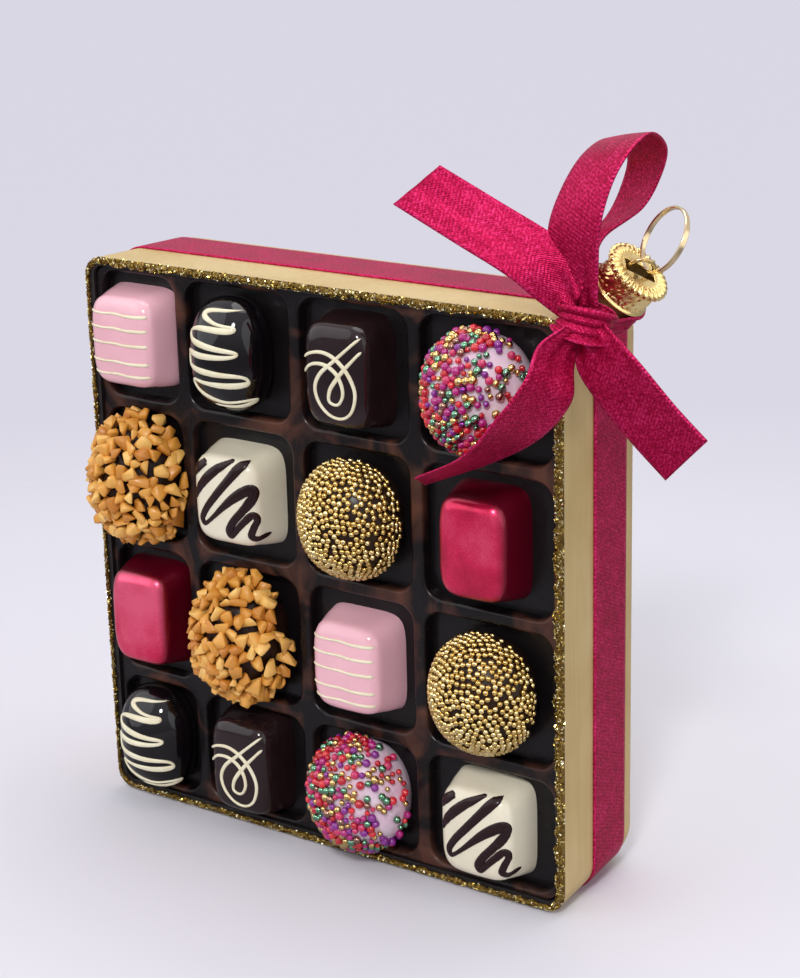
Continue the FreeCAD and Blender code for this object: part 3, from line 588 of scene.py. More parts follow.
def blockRings(size, form):  # each ring and how far forward it lies, from the foot to the crown
    draft, rounding, crown = form["draft"], form["round"], form["crown"]
    profile = [(0.0, 0.0, 1.0), (draft * 0.5, (size.y - rounding) * 0.5, 1.0)]
    for step in range(form["roundSteps"] + 1):
        turn = math.pi / 2 * step / form["roundSteps"]
        profile.append((draft + rounding * (1 - math.cos(turn)),
                        size.y - crown - rounding * (1 - math.sin(turn)), 1.0))
    inset, edge, _ = profile[-1]
    profile += [(inset, edge + crown * (1 - share ** 2), share) for share in form["crownRings"]]
    rings = []
    for inset, forward, share in profile:
        exponent = form["squareness"] - form["softerInFront"] * smoothStep(0, size.y, forward)
        rings.append((forward, superRing(
            size.x / 2 - inset, size.z / 2 - inset, exponent, form["around"], share)))
    return rings


def domeRings(size, form, exponent):
    rise = size.y - form["seat"]
    start = -math.asin(form["seat"] / rise)
    rings = []
    for ring in range(form["rings"]):
        angle = start + (math.pi / 2 - start) * ring / form["rings"]
        spread = math.cos(angle)
        rings.append((form["seat"] + rise * math.sin(angle), superRing(
            size.x / 2 * spread, size.z / 2 * spread, exponent, form["around"])))
    return rings


def moulded(node, material, roundness, seed):  # roundness is the dome's exponent, none for a block
    low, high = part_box(node)
    middle, size = (low + high) / 2, high - low
    if roundness:
        form, rings = domeForm, domeRings(size, domeForm, roundness)
        still, span = form["seat"] * form["stillFoot"], size.y - form["seat"]
    else:
        form, rings = blockForm, blockRings(size, blockForm)
        still, span = 0.0, size.y
    vertices = [Vector((middle.x + x, high.y - forward, middle.z + z))
                for forward, ring in rings for x, z in ring]
    vertices.append(Vector((middle.x, low.y, middle.z)))
    for index, vertex in enumerate(vertices):
        shift = noise.noise_vector(vertex * form["wobbleScale"] + Vector((seed * form["wobbleStep"], 0, 0)))
        rising = smoothStep(0, span, high.y - vertex.y - still)
        vertices[index] = vertex + shift * form["wobble"] * rising
    count, tip = form["around"], len(vertices) - 1
    last = tip - count
    faces = gridFaces(len(rings), count)
    faces += [(last + step, last + (step + 1) % count, tip) for step in range(count)]
    return closedPiece(pieceName(node), vertices, faces, material)


chocolateKinds = {  # finish, slot, roundness
    "pink_square": (pinkPaint, "pink_chocolate", None),
    "white_square": (creamPaint, "white_chocolate", None),
    "dark_square": (darkPaint, "dark_chocolate", None),
    "foil_square": (redFoil, "red_foil", None),
    "dark_oval": (ovalPaint, "dark_chocolate", 2.5),
    "sprinkle_truffle": (coreLilacPaint, "lilac_sprinkle", 2.15),
    "gold_truffle": (coreDarkPaint, "gold_bead", 2.15),
    "nut_truffle": (coreDarkPaint, "dark_chocolate", 2.1),
}
chocolates = {}
for number in (1, 2):
    for kind, (material, slot, roundness) in chocolateKinds.items():
        node = f"{kind}_{number}"
        chocolates[node] = standFor(moulded(node, material, roundness, len(chocolates)), slot, node)
print("chocolates moulded:", len(chocolates))


# piped icing: points are shares across and down the chocolate's own box, with a share of the line's width

icing = {"rise": 0.22 * mm, "fullRiseFrom": 0.2 * mm, "thinnest": 0.02 * mm, "roundedEnd": 0.015,
         "steps": 9, "sides": 10, "start": 20 * mm}
pinkStrokes = [
    [(0.08, down, 0.7), (0.28, down + 0.006, 0.8), (0.46, down - 0.003, 0.85), (0.64, down + 0.008, 1.0),
     (0.90, down + 0.004, 1.25)]
    for down in (0.21, 0.35, 0.50, 0.68, 0.81)]
whiteStrokes = [
    [(0.10, 0.26, 0.9), (0.17, 0.19), (0.28, 0.115, 0.9)],
    [(0.11, 0.50, 0.6), (0.16, 0.42, 0.8), (0.25, 0.32), (0.40, 0.20), (0.53, 0.125, 0.8), (0.64, 0.07, 0.5)],
    [(0.80, 0.07), (0.72, 0.14, 1.15), (0.58, 0.28), (0.42, 0.44, 0.9), (0.29, 0.57, 0.85),
     (0.21, 0.68, 0.8), (0.225, 0.745, 0.6), (0.27, 0.735, 0.45), (0.38, 0.655, 0.5), (0.51, 0.55, 0.7),
     (0.64, 0.45, 0.95), (0.77, 0.37, 1.1), (0.87, 0.325), (0.905, 0.365, 0.95), (0.86, 0.455),
     (0.75, 0.57, 0.85), (0.64, 0.68, 0.85), (0.57, 0.785, 0.85), (0.605, 0.825, 0.6), (0.70, 0.735, 0.7),
     (0.80, 0.645, 0.8), (0.88, 0.585, 0.8), (0.915, 0.635, 0.8), (0.875, 0.73, 0.8), (0.85, 0.80, 0.8),
     (0.89, 0.835, 0.7), (0.95, 0.80, 0.6)]]
darkStrokes = [
    [(0.08, 0.37), (0.22, 0.31), (0.40, 0.29), (0.58, 0.34), (0.72, 0.45), (0.80, 0.60), (0.77, 0.74),
     (0.69, 0.82), (0.57, 0.85), (0.43, 0.82), (0.31, 0.72), (0.27, 0.60), (0.35, 0.48), (0.53, 0.36),
     (0.68, 0.26), (0.86, 0.14)],
    [(0.08, 0.50), (0.22, 0.41), (0.40, 0.39), (0.55, 0.44), (0.63, 0.53), (0.65, 0.63), (0.60, 0.71),
     (0.53, 0.73), (0.46, 0.70), (0.48, 0.61), (0.57, 0.51), (0.68, 0.41), (0.78, 0.33), (0.88, 0.25)]]
ovalStrokes = [
    [(0.80, 0.08), (0.44, 0.09), (0.35, 0.13), (0.52, 0.18), (0.76, 0.21), (0.73, 0.235), (0.33, 0.235),
     (0.16, 0.28), (0.20, 0.34), (0.43, 0.37), (0.80, 0.41), (0.78, 0.45), (0.41, 0.46), (0.12, 0.46),
     (0.12, 0.54), (0.21, 0.58), (0.50, 0.60), (0.84, 0.62), (0.91, 0.67), (0.84, 0.70), (0.50, 0.70),
     (0.21, 0.69), (0.23, 0.76), (0.40, 0.83), (0.62, 0.865), (0.86, 0.85), (0.87, 0.87), (0.74, 0.905),
     (0.43, 0.895)]]
icingKinds = {  # chocolate, strokes, thin and thick width with the swings between them, paint, slot
    "pinkLines": ("pink_square", pinkStrokes, (0.5 * mm, 0.56 * mm, 3), icingPaint, "white_chocolate"),
    "whiteZigzag": ("white_square", whiteStrokes, (1.6 * mm, 1.75 * mm, 1), darkIcingPaint, "dark_chocolate"),
    "darkFlourish": ("dark_square", darkStrokes, (0.5 * mm, 0.75 * mm, 2), icingPaint, "white_chocolate"),
    "ovalZigzag": ("dark_oval", ovalStrokes, (0.55 * mm, 1.15 * mm, 8), icingPaint, "white_chocolate"),
}


def strokeWidth(widths, share):  # thin and thick by turns, rounded off at both ends
    thin, thick, swings = widths
    swing = 0.5 - 0.5 * math.cos(fullTurn * swings * share)
    ends = min(1.0, math.sqrt(max(0.0, min(share, 1 - share) / icing["roundedEnd"])))
    return (thin + (thick - thin) * swing) * ends


def pipeIcing(name, node, strokes, widths, material, slot):
    low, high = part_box(node)
    size = high - low
    skin = BVHTree.FromObject(chocolates[node], bpy.context.evaluated_depsgraph_get())
    vertices, faces = [], []
    for stroke in strokes:
        flat = [Vector((low.x + across * size.x, high.z - down * size.z, *(wide or (1.0,))))
                for across, down, *wide in stroke]
        touches = []
        for spot in along(flat, icing["steps"]):
            start = Vector((spot.x, low.y - icing["start"], spot.y))
            place, normal, _, _ = skin.ray_cast(start, Vector((0, 1, 0)))
            if place:
                touches.append((place, normal, spot.z))
        first, count, end = len(vertices), icing["sides"], len(touches) - 1
        for index, (place, normal, wide) in enumerate(touches):
            ahead = touches[min(index + 1, end)][0] - touches[max(index - 1, 0)][0]
            across = ahead.cross(normal).normalized()
            half = max(strokeWidth(widths, index / end) * wide, icing["thinnest"]) / 2
            lift = icing["rise"] * min(1.0, half / icing["fullRiseFrom"])
            for side in range(count):
                turn = fullTurn * side / count
                vertices.append(place + across * half * math.cos(turn) + normal * lift * math.sin(turn))
        last = first + end * count
        faces += gridFaces(len(touches), count, first)
        faces += [tuple(range(first, first + count)), tuple(reversed(range(last, last + count)))]
    standFor(closedPiece(name, vertices, faces, material), slot)


for number in (1, 2):
    for name, (kind, strokes, widths, material, slot) in icingKinds.items():
        pipeIcing(f"{name}{number}", f"{kind}_{number}", strokes, widths, material, slot)
print("icing piped")


# beads, nuts and glitter, spread over a surface

scatter = {
    "thinOver": 6 * mm, "gapScale": 330.0, "gapEdge": 0.06, "densest": 6.0e7, "lift": 0.3, "tintSeed": 11,
    "beadSeed": 5, "nutSizes": (0.75, 1.15), "nutSeed": 3, "nutTurnSeed": 4,
    "flakeSides": 6, "flakeSizes": (0.6, 1.25), "flakeSeed": 8, "flakeTurnSeed": 9,
}


def newSpread(name, ownSockets):
    return newTree(name, "GeometryNodeTree", {
        "Surface": "Geometry", "Back Limit": "Float", "Thin From": "Float", "Thin To": "Float",
        "Gap Share": "Float", "Seed": "Int", "Finish": "Material", "Spacing": "Float", "Grain Size": "Float",
        **ownSockets}, {"Pieces": "Geometry"})


def scatterPoints(tree, given):  # even points in front of a depth, thinned on one side and in gaps
    place = addNode(tree, "GeometryNodeInputPosition").outputs[0]
    x, y, _ = splitVector(tree, place)
    inFront = addNode(tree, "FunctionNodeCompare", {0: y, 1: given["Back Limit"]},
                      data_type="FLOAT", operation="LESS_THAN").outputs[0]
    offSide = addMath(tree, "SUBTRACT", x, given["Thin From"])
    thinned = remap(tree, offSide, 0.0, scatter["thinOver"], 1.0, given["Thin To"])
    gapEnd = addMath(tree, "ADD", given["Gap Share"], scatter["gapEdge"])
    openHere = remap(tree, cloudy(tree, place, scatter["gapScale"], 1.0), given["Gap Share"], gapEnd)
    return addNode(tree, "GeometryNodeDistributePointsOnFaces", {
        "Mesh": given["Surface"], "Selection": inFront, "Distance Min": given["Spacing"],
        "Density Max": scatter["densest"], "Density Factor": addMath(tree, "MULTIPLY", thinned, openHere),
        "Seed": given["Seed"]}, distribute_method="POISSON").outputs


def raisedPoints(tree, given):  # lifted off the surface by a share of the grain's size
    points = scatterPoints(tree, given)
    lift = addMath(tree, "MULTIPLY", given["Grain Size"], scatter["lift"])
    offset = addNode(tree, "ShaderNodeVectorMath", {0: points["Normal"], "Scale": lift}, operation="SCALE")
    return addNode(tree, "GeometryNodeSetPosition", {
        "Geometry": points["Points"], "Offset": offset.outputs[0]}).outputs[0]


def halfGrain(tree, given):
    return addMath(tree, "MULTIPLY", given["Grain Size"], 0.5)


def randomNumber(tree, low, high, seed):
    return addNode(tree, "FunctionNodeRandomValue", {2: low, 3: high, 8: seed}, data_type="FLOAT").outputs[1]


def randomTurn(tree, seed):
    turn = addNode(tree, "FunctionNodeRandomValue", {0: (0, 0, 0), 1: (6.283, 6.283, 6.283), 8: seed},
                   data_type="FLOAT_VECTOR")
    return addNode(tree, "FunctionNodeEulerToRotation", {0: turn.outputs[0]}).outputs[0]


def endSpread(tree, given, result, placing, smooth=True):  # placing: what goes to Instance on Points
    grains = addNode(tree, "GeometryNodeInstanceOnPoints", placing)
    made = addNode(tree, "GeometryNodeStoreNamedAttribute", {
        "Geometry": grains.outputs[0], "Name": grainTint,
        "Value": randomNumber(tree, 0.0, 1.0, scatter["tintSeed"])},
        data_type="FLOAT", domain="INSTANCE")
    for kind, inputs in (("RealizeInstances", {}), ("SetShadeSmooth", {"Shade Smooth": smooth}),
                         ("SetMaterial", {"Material": given["Finish"]})):
        made = addNode(tree, "GeometryNode" + kind, {"Geometry": made.outputs[0], **inputs})
    tree.links.new(made.outputs[0], result[0])
    return tree


def makeBeadSpread():
    tree, given, result = newSpread("beadSpread", {"Small Share": "Float"})
    bead = addNode(tree, "GeometryNodeMeshIcoSphere", {"Radius": halfGrain(tree, given), "Subdivisions": 2})
    return endSpread(tree, given, result, {
        "Points": raisedPoints(tree, given), "Instance": bead.outputs[0],
        "Scale": randomNumber(tree, given["Small Share"], 1.0, scatter["beadSeed"])})


def makeNutSpread():
    tree, given, result = newSpread("nutSpread", {"Bits": "Collection"})
    bits = addNode(tree, "GeometryNodeCollectionInfo", {
        "Collection": given["Bits"], "Separate Children": True, "Reset Children": True})
    uneven = randomNumber(tree, *scatter["nutSizes"], scatter["nutSeed"])
    return endSpread(tree, given, result, {
        "Points": raisedPoints(tree, given), "Instance": bits.outputs[0], "Pick Instance": True,
        "Rotation": randomTurn(tree, scatter["nutTurnSeed"]),
        "Scale": addMath(tree, "MULTIPLY", uneven, given["Grain Size"])})


def makeGlitterSpread():
    tree, given, result = newSpread("glitterSpread", {})
    flake = addNode(tree, "GeometryNodeMeshCircle", {
        "Vertices": scatter["flakeSides"], "Radius": halfGrain(tree, given)}, fill_type="NGON")
    return endSpread(tree, given, result, {
        "Points": scatterPoints(tree, given)["Points"], "Instance": flake.outputs[0],
        "Rotation": randomTurn(tree, scatter["flakeTurnSeed"]),
        "Scale": randomNumber(tree, *scatter["flakeSizes"], scatter["flakeSeed"])}, smooth=False)


def spreadOver(name, spread, surface, values):
    piece = newPiece(name, surface.copy())
    modifier = piece.modifiers.new("spread", "NODES")
    modifier.node_group = spread
    for socket in spread.interface.items_tree:
        if socket.in_out == "INPUT" and socket.name in values:
            modifier[socket.identifier] = values[socket.name]
    piece = settled(piece)
    print(name, "triangles", sum(len(face.vertices) - 2 for face in piece.data.polygons))
    return piece


def spreadOverTruffle(name, spread, node, off, thinPast, values):
    low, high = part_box(node)
    return spreadOver(name, spread, chocolates[node].data, {
        "Back Limit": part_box("tray_panel")[0].y - off, "Thin From": (low.x + high.x) / 2 + thinPast,
        **values})


beadCoat = {
    "off": 0.3 * mm, "thinPast": 2 * mm,
    "kinds": {  # finish, slot, spacing, bead size, smallest share
        "sprinkle": (sprinkleBead, "lilac_sprinkle", 1.04 * mm, 1.62 * mm, 0.55),
        "gold": (goldBead, "gold_bead", 0.86 * mm, 1.04 * mm, 0.94),
    },
    "truffles": {  # gaps, share kept at the right, seed
        "sprinkle_1": (0.24, 0.45, 4), "sprinkle_2": (0.24, 0.5, 6),
        "gold_1": (0.24, 0.88, 2), "gold_2": (0.22, 0.92, 3),
    },
}
beadSpread = makeBeadSpread()
for truffle, (gap, thin, seed) in beadCoat["truffles"].items():
    kind, number = truffle.split("_")
    finish, slot, spacing, size, small = beadCoat["kinds"][kind]
    beads = spreadOverTruffle(
        f"{kind}Beads{number}", beadSpread, f"{kind}_truffle_{number}", beadCoat["off"], beadCoat["thinPast"],
        {"Thin To": thin, "Gap Share": gap, "Seed": seed, "Finish": finish, "Spacing": spacing,
         "Grain Size": size, "Small Share": small})
    standFor(beads, slot)

nutCoat = {
    "off": 0.2 * mm, "thinPast": 3 * mm, "thin": 0.65, "gap": 0.07, "spacing": 1.7 * mm, "size": 4.1 * mm,
    "seeds": (5, 8), "bits": 8, "corners": 9, "flats": 20.0, "worn": 0.04, "shape": (0.5, 0.42, 0.35),
    "shapeSeed": 21,
}


def makeNutBits(coat):  # broken nuts of unit size: hulls of a few scattered points, their edges worn
    bits = bpy.data.collections.new("nutBits")
    draw = random.Random(coat["shapeSeed"])
    for number in range(coat["bits"]):
        shape = bmesh.new()
        for corner in range(coat["corners"]):
            spot = Vector((draw.uniform(-1, 1), draw.uniform(-1, 1), draw.uniform(-1, 1))).normalized()
            shape.verts.new(spot * Vector(coat["shape"]))
        hull = bmesh.ops.convex_hull(shape, input=shape.verts)
        within = [item for item in hull["geom_interior"] if isinstance(item, bmesh.types.BMVert)]
        bmesh.ops.delete(shape, geom=within, context="VERTS")
        bmesh.ops.dissolve_limit(
            shape, angle_limit=math.radians(coat["flats"]), verts=shape.verts, edges=shape.edges)
        bmesh.ops.bevel(
            shape, geom=shape.edges[:], offset=coat["worn"], segments=1, affect="EDGES", clamp_overlap=True)
        bmesh.ops.triangulate(shape, faces=shape.faces)
        bmesh.ops.recalc_face_normals(shape, faces=shape.faces)
        name = f"nutBit{number}"
        bits.objects.link(bpy.data.objects.new(name, meshFrom(shape, name)))
    return bits


nutBits = makeNutBits(nutCoat)
nutSpread = makeNutSpread()
for number, seed in enumerate(nutCoat["seeds"], start=1):
    nuts = spreadOverTruffle(
        f"choppedNuts{number}", nutSpread, f"nut_truffle_{number}", nutCoat["off"], nutCoat["thinPast"],
        {"Thin To": nutCoat["thin"], "Gap Share": nutCoat["gap"], "Seed": seed, "Finish": choppedNut,
         "Spacing": nutCoat["spacing"], "Grain Size": nutCoat["size"], "Bits": nutBits})
    standFor(nuts, "chopped_nut", f"nut_chips_{number}")
for bit in list(nutBits.objects):
    bpy.data.objects.remove(bit)
bpy.data.collections.remove(nutBits)

trimForm = {
    "steps": 900, "sides": 8, "corner": 3.5 * mm, "height": 0.55 * mm,
    "right": 1.55 * mm, "top": 1.25 * mm, "left": 0.5 * mm, "bottom": 0.85 * mm,  # widths
    "clumpScale": 620.0, "gritScale": 1900.0, "grit": 0.6, "uneven": 0.4,
    "flakeSpacing": 0.17 * mm, "flake": 0.4 * mm, "flakeGaps": 0.2, "flakesOff": 0.03 * mm, "seed": 12,
}


def buildTrim(form):  # clumpy bead of glitter paste on the front rim, thick at the right and top
    low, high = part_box("glitter_edge")
    corner = form["corner"]
    halfX, halfZ = (high.x - low.x) / 2 - corner, (high.z - low.z) / 2 - corner
    middle = (low + high) / 2
    straight, bend = (halfZ * 2, halfX * 2), corner * math.pi / 2
    whole = 2 * (sum(straight) + 2 * bend)
    vertices = []
    for step in range(form["steps"]):
        run = whole * step / form["steps"]
        for side in range(4):
            length = straight[side % 2]
            if run < length + bend:
                break
            run -= length + bend
        quarter = math.radians(90 * side)
        turn = quarter + max(0.0, run - length) / corner
        out = Vector((math.cos(turn), 0, math.sin(turn)))
        ahead = Vector((-math.sin(quarter), 0, math.cos(quarter)))
        pivot = Vector((halfX * (1, -1, -1, 1)[side], 0, halfZ * (1, 1, -1, -1)[side]))
        edge = pivot + out * corner - ahead * max(0.0, length - run)
        edge = Vector((middle.x + edge.x, high.y, middle.z + edge.z))
        width = sum(form[name] * max(0.0, share) ** 2 for name, share in (
            ("right", out.x), ("left", -out.x), ("top", out.z), ("bottom", -out.z)))
        clump = noise.noise(edge * form["clumpScale"]) + form["grit"] * noise.noise(edge * form["gritScale"])
        width *= 1 + form["uneven"] * clump
        height = form["height"] * (1 + form["uneven"] * clump)
        for index in range(form["sides"] + 1):
            arc = math.pi * index / form["sides"]
            inwards = out * width * (0.5 - 0.5 * math.cos(arc))
            vertices.append(edge - inwards - Vector((0, height * math.sin(arc), 0)))
    faces = gridFaces(form["steps"], form["sides"] + 1, joinRows=True)
    return closedPiece("glitterBead", vertices, faces, glitterBed)


trim = standFor(buildTrim(trimForm), "gold_glitter", "glitter_edge")
glitter = spreadOver("glitterFlakes", makeGlitterSpread(), trim.data, {
    "Back Limit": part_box("glitter_edge")[1].y - trimForm["flakesOff"], "Thin From": 1.0, "Thin To": 1.0,
    "Gap Share": trimForm["flakeGaps"], "Seed": trimForm["seed"], "Finish": glitterFlake,
    "Spacing": trimForm["flakeSpacing"], "Grain Size": trimForm["flake"]})
standFor(glitter, "gold_glitter")
print("truffles and rim coated")


# satin ribbon

ribbon = {"width": 10 * mm, "thickness": 0.28 * mm, "across": 14, "steps": 14, "cup": 0.35 * mm,
          "pleat": 1.1 * mm, "pleats": 2.5}
satinLook = {
    "threads": 18, "twill": 16, "cords": 14,  # counts in one ribbon width
    "slant": 0.55, "cordHeight": 1.6, "cordsFrom": 0.455,  # cords lie this share of the width off the middle
    "colours": ((0.20, (130, 0, 42)), (0.32, (172, 3, 64)), (0.48, (222, 52, 118))), "sheen": (255, 90, 150),
    "fuzzScale": 2600.0, "fuzz": 0.5, "shineScale": 240.0, "shine": 0.14, "weave": 0.045, "edge": 0.05,
    "gloss": (0.38, 0.5), "relief": 0.4, "depth": 0.07 * mm,
}


def makeSatin(look):  # fine twill on the ribbon's own coordinates, corded at both edges
    material, tree, shader = newMaterial(
        "satinRibbon", Metallic=0.65, Sheen_Weight=0.06, Sheen_Roughness=0.3, Specular_IOR_Level=0.25,
        Sheen_Tint=paint(*look["sheen"]))
    across, length, _ = splitVector(tree, addNode(tree, "ShaderNodeUVMap", uv_map="ribbon").outputs[0])

    def waves(place, count):
        return addMath(tree, "SINE", addMath(tree, "MULTIPLY", place, fullTurn * count))

    slanted = addMath(tree, "MULTIPLY_ADD", across, look["slant"], length)
    weave = addMath(tree, "MULTIPLY", waves(across, look["threads"]), waves(slanted, look["twill"]))
    fromMiddle = addMath(tree, "ABSOLUTE", addMath(tree, "SUBTRACT", across, 0.5))
    edge = addMath(tree, "GREATER_THAN", fromMiddle, look["cordsFrom"])
    cords = addMath(tree, "MULTIPLY", waves(length, look["cords"]), edge)
    height = addMath(tree, "MULTIPLY_ADD", cords, look["cordHeight"], weave)
    coords = objectCoords(tree)
    fuzz = cloudy(tree, coords, look["fuzzScale"], 2.0)
    shine = cloudy(tree, coords, look["shineScale"], 3.0)
    tone = weighted(tree, fuzz, look["fuzz"], shine, look["shine"])
    tone = addMath(tree, "MULTIPLY_ADD", weave, look["weave"], tone)
    tone = addMath(tree, "MULTIPLY_ADD", edge, look["edge"], tone)
    feed(tree, shader, Base_Color=colourRamp(tree, tone, look["colours"]),
         Roughness=remap(tree, shine, 0.0, 1.0, *look["gloss"]),
         Normal=bumped(tree, height, look["relief"], look["depth"]))
    return material


satinRibbon = makeSatin(satinLook)


def layRibbon(node, places, acrosses, widths, riseAcross, closed=False):
    # places, directions across and widths along the ribbon; riseAcross gives the rise of the cloth across it
    count, total = ribbon["across"], len(places)
    vertices, flat = [], []
    length = 0.0
    for index, (place, across, width) in enumerate(zip(places, acrosses, widths)):
        ahead = places[(index + 1) % total if closed else min(index + 1, total - 1)]
        behind = places[index - 1 if closed else max(index - 1, 0)]
        normal = (ahead - behind).cross(across).normalized()
        length += (place - places[index - 1]).length if index else 0.0
        for step in range(count + 1):
            share = step / count * 2 - 1
            rise = riseAcross(share, index / (total - 1))
            vertices.append(place + across * width / 2 * share + normal * rise)
            flat.append((step / count, length / ribbon["width"]))
    faces = gridFaces(total, count + 1, joinRows=closed, joinColumns=False)
    piece = pieceFrom(pieceName(node), vertices, faces, satinRibbon)
    layer = piece.data.uv_layers.new(name="ribbon")
    for loop in piece.data.loops:
        layer.data[loop.index].uv = flat[loop.vertex_index]
    thick = piece.modifiers.new("thickness", "SOLIDIFY")
    thick.thickness = ribbon["thickness"]
    thick.offset = 0.0
    piece = standFor(settled(piece), "satin_ribbon", node)
    print(piece.name, "length", round(length / mm, 1), "mm")


knotLow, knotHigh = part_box("bow_knot")
knotMiddle = (knotLow + knotHigh) / 2

# stations: place from the knot in ribbon widths, direction across the ribbon, share of the full width
bowStations = {
    "bow_tail_upper": (
        ((-0.15, -0.05, 0.22), (0.47, 0.0, 0.88), 0.6),
        ((-0.40, -0.08, 0.62), (0.47, 0.30, 0.80), 0.92),
        ((-0.83, -0.22, 0.98), (0.50, 0.58, 0.64), 0.93),
        ((-1.63, -0.39, 1.42), (0.52, 0.60, 0.61), 0.93),
        ((-2.62, -0.56, 1.94), (0.58, 0.54, 0.61), 0.92)),
    "bow_tail_front": (
        ((-0.08, -0.22, -0.12), (0.10, -0.86, 0.50), 0.6),
        ((-0.17, -0.55, -0.45), (-0.19, -0.80, 0.57), 0.9),
        ((-0.14, -0.85, -0.90), (-0.31, -0.82, 0.49), 1.0),
        ((-0.51, -1.05, -1.45), (-0.24, -0.84, 0.48), 1.0),
        ((-1.21, -1.12, -2.04), (0.04, -0.94, 0.33), 1.0),
        ((-2.35, -1.05, -2.60), (0.39, -0.83, 0.39), 1.0)),
    "bow_tail_side": (
        ((0.10, -0.05, -0.16), (-0.80, 0.0, -0.60), 0.62),
        ((0.27, -0.08, -0.46), (-0.78, 0.0, -0.62), 0.9),
        ((0.62, -0.05, -0.86), (-0.75, 0.0, -0.66), 1.0),
        ((1.09, 0.15, -1.48), (-0.74, 0.0, -0.67), 1.0),
        ((1.55, 0.35, -2.03), (-0.69, 0.0, -0.72), 1.0)),
    "bow_loop": (
        ((-0.05, 0.03, 0.22), (-0.97, 0.10, -0.10), 0.55),
        ((-0.18, 0.00, 0.85), (-0.96, 0.14, -0.10), 0.9),
        ((-0.17, -0.02, 1.45), (-0.95, 0.14, -0.15), 1.0),
        ((-0.04, 0.14, 2.05), (-0.94, 0.18, -0.18), 1.0),
        ((0.12, 0.45, 2.50), (-0.94, 0.22, -0.18), 1.0),
        ((0.14, 1.08, 2.64), (-0.92, 0.30, -0.20), 1.0),
        ((0.06, 1.75, 2.30), (-0.90, 0.38, -0.22), 1.0),
        ((-0.17, 1.98, 1.78), (-0.90, 0.40, -0.25), 1.0),
        ((-0.42, 1.88, 1.27), (-0.90, 0.38, -0.30), 0.95),
        ((-0.80, 1.57, 0.90), (-0.90, 0.25, -0.35), 0.65),
        ((-0.69, 1.12, 0.61), (-0.90, 0.30, -0.30), 0.55),
        ((-0.29, 0.39, 0.34), (-0.92, 0.30, -0.20), 0.45)),
}


def gathered(widths):  # pleats near the knot, a slight cup further out
    def rise(share, run):
        width = widths[min(int(run * len(widths)), len(widths) - 1)] / ribbon["width"]
        pleat = max(0.0, 1 - width) * ribbon["pleat"] * math.cos(share * math.pi * ribbon["pleats"])
        return pleat + ribbon["cup"] * width * (1 - share * share) * 0.5
    return rise


for node, stations in bowStations.items():
    spots, leans, shares = zip(*stations)
    places = along([knotMiddle + Vector(spot) * ribbon["width"] for spot in spots], ribbon["steps"])
    acrosses = [lean.normalized() for lean in along([Vector(lean) for lean in leans], ribbon["steps"])]
    sized = along([Vector((share * ribbon["width"], 0, 0)) for share in shares], ribbon["steps"])
    widths = [size.x for size in sized]
    layRibbon(node, places, acrosses, widths, gathered(widths))

# ribbon round the case, its ends tucked under the gathered wrap on the neck
band = {"cornerFront": 5.3 * mm, "cornerRear": 7.0 * mm, "gap": 4.6 * mm, "arcSteps": 10, "sideSteps": 16,
        "sideFrom": 20 * mm, "off": 0.2 * mm}
bandLow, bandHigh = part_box("ribbon_band")


def roundCase(y, corner):  # the outline at one depth, from the neck's lower side round to its upper side
    left, right = bandLow.x + band["off"], bandHigh.x - band["off"]
    low, high = bandLow.z + band["off"], bandHigh.z - band["off"]
    stops = [Vector((right, y, high - band["gap"]))]
    for x, z, turn in ((right - corner, low + corner, 0), (left + corner, low + corner, -90),
                       (left + corner, high - corner, -180)):
        for step in range(band["arcSteps"] + 1):
            angle = math.radians(turn - 90 * step / band["arcSteps"])
            stops.append(Vector((x + corner * math.cos(angle), y, z + corner * math.sin(angle))))
    stops.append(Vector((right - band["gap"], y, high)))
    line = []
    for here, there in zip(stops, stops[1:]):
        steps = band["sideSteps"] if (there - here).length > band["sideFrom"] else 1
        line += [here.lerp(there, step / steps) for step in range(steps)]
    return line + [stops[-1]]


bandEdges = list(zip(roundCase(bandLow.y, band["cornerFront"]), roundCase(bandHigh.y, band["cornerRear"])))
layRibbon(
    "ribbon_band", [(front + rear) / 2 for front, rear in bandEdges],
    [(rear - front).normalized() for front, rear in bandEdges],
    [(rear - front).length for front, rear in bandEdges], lambda share, run: 0.0)

# gathered ribbon round the neck
neck = {"angle": 45.0, "corner": (48.0 * mm, 1.0 * mm, 100.4 * mm)}
neckAlong = Vector((math.cos(math.radians(neck["angle"])), 0, math.sin(math.radians(neck["angle"]))))
neckAcross = Vector((neckAlong.z, 0, -neckAlong.x))
neckBack = Vector((0, 1, 0))
neckCorner = Vector(neck["corner"])
wrap = {
    "radius": 5.1 * mm, "middle": 0.1 * mm, "width": 4.3 * mm, "steps": 6,
    "arcFrom": 200, "arc": 220, "arcSteps": 12,  # degrees, round the neck's back
    "front": -6.6 * mm, "leftStrand": -2.0 * mm, "rightStrand": 4.0 * mm,
    "knotSpread": 0.8 * mm, "knotIn": 1.6 * mm, "knotShare": 0.6,  # where the strands enter the knot
    "pleat": 0.4 * mm, "pleats": 3, "pleatShift": 2, "bulge": 0.4 * mm,
}


def onNeck(across, back, up):
    return neckCorner + neckAcross * across + neckBack * back + neckAlong * up


def wrapRise(share, run):
    pleat = wrap["pleat"] * math.cos(share * math.pi * wrap["pleats"] + run * wrap["pleatShift"])
    return pleat + wrap["bulge"] * (1 - share ** 2)


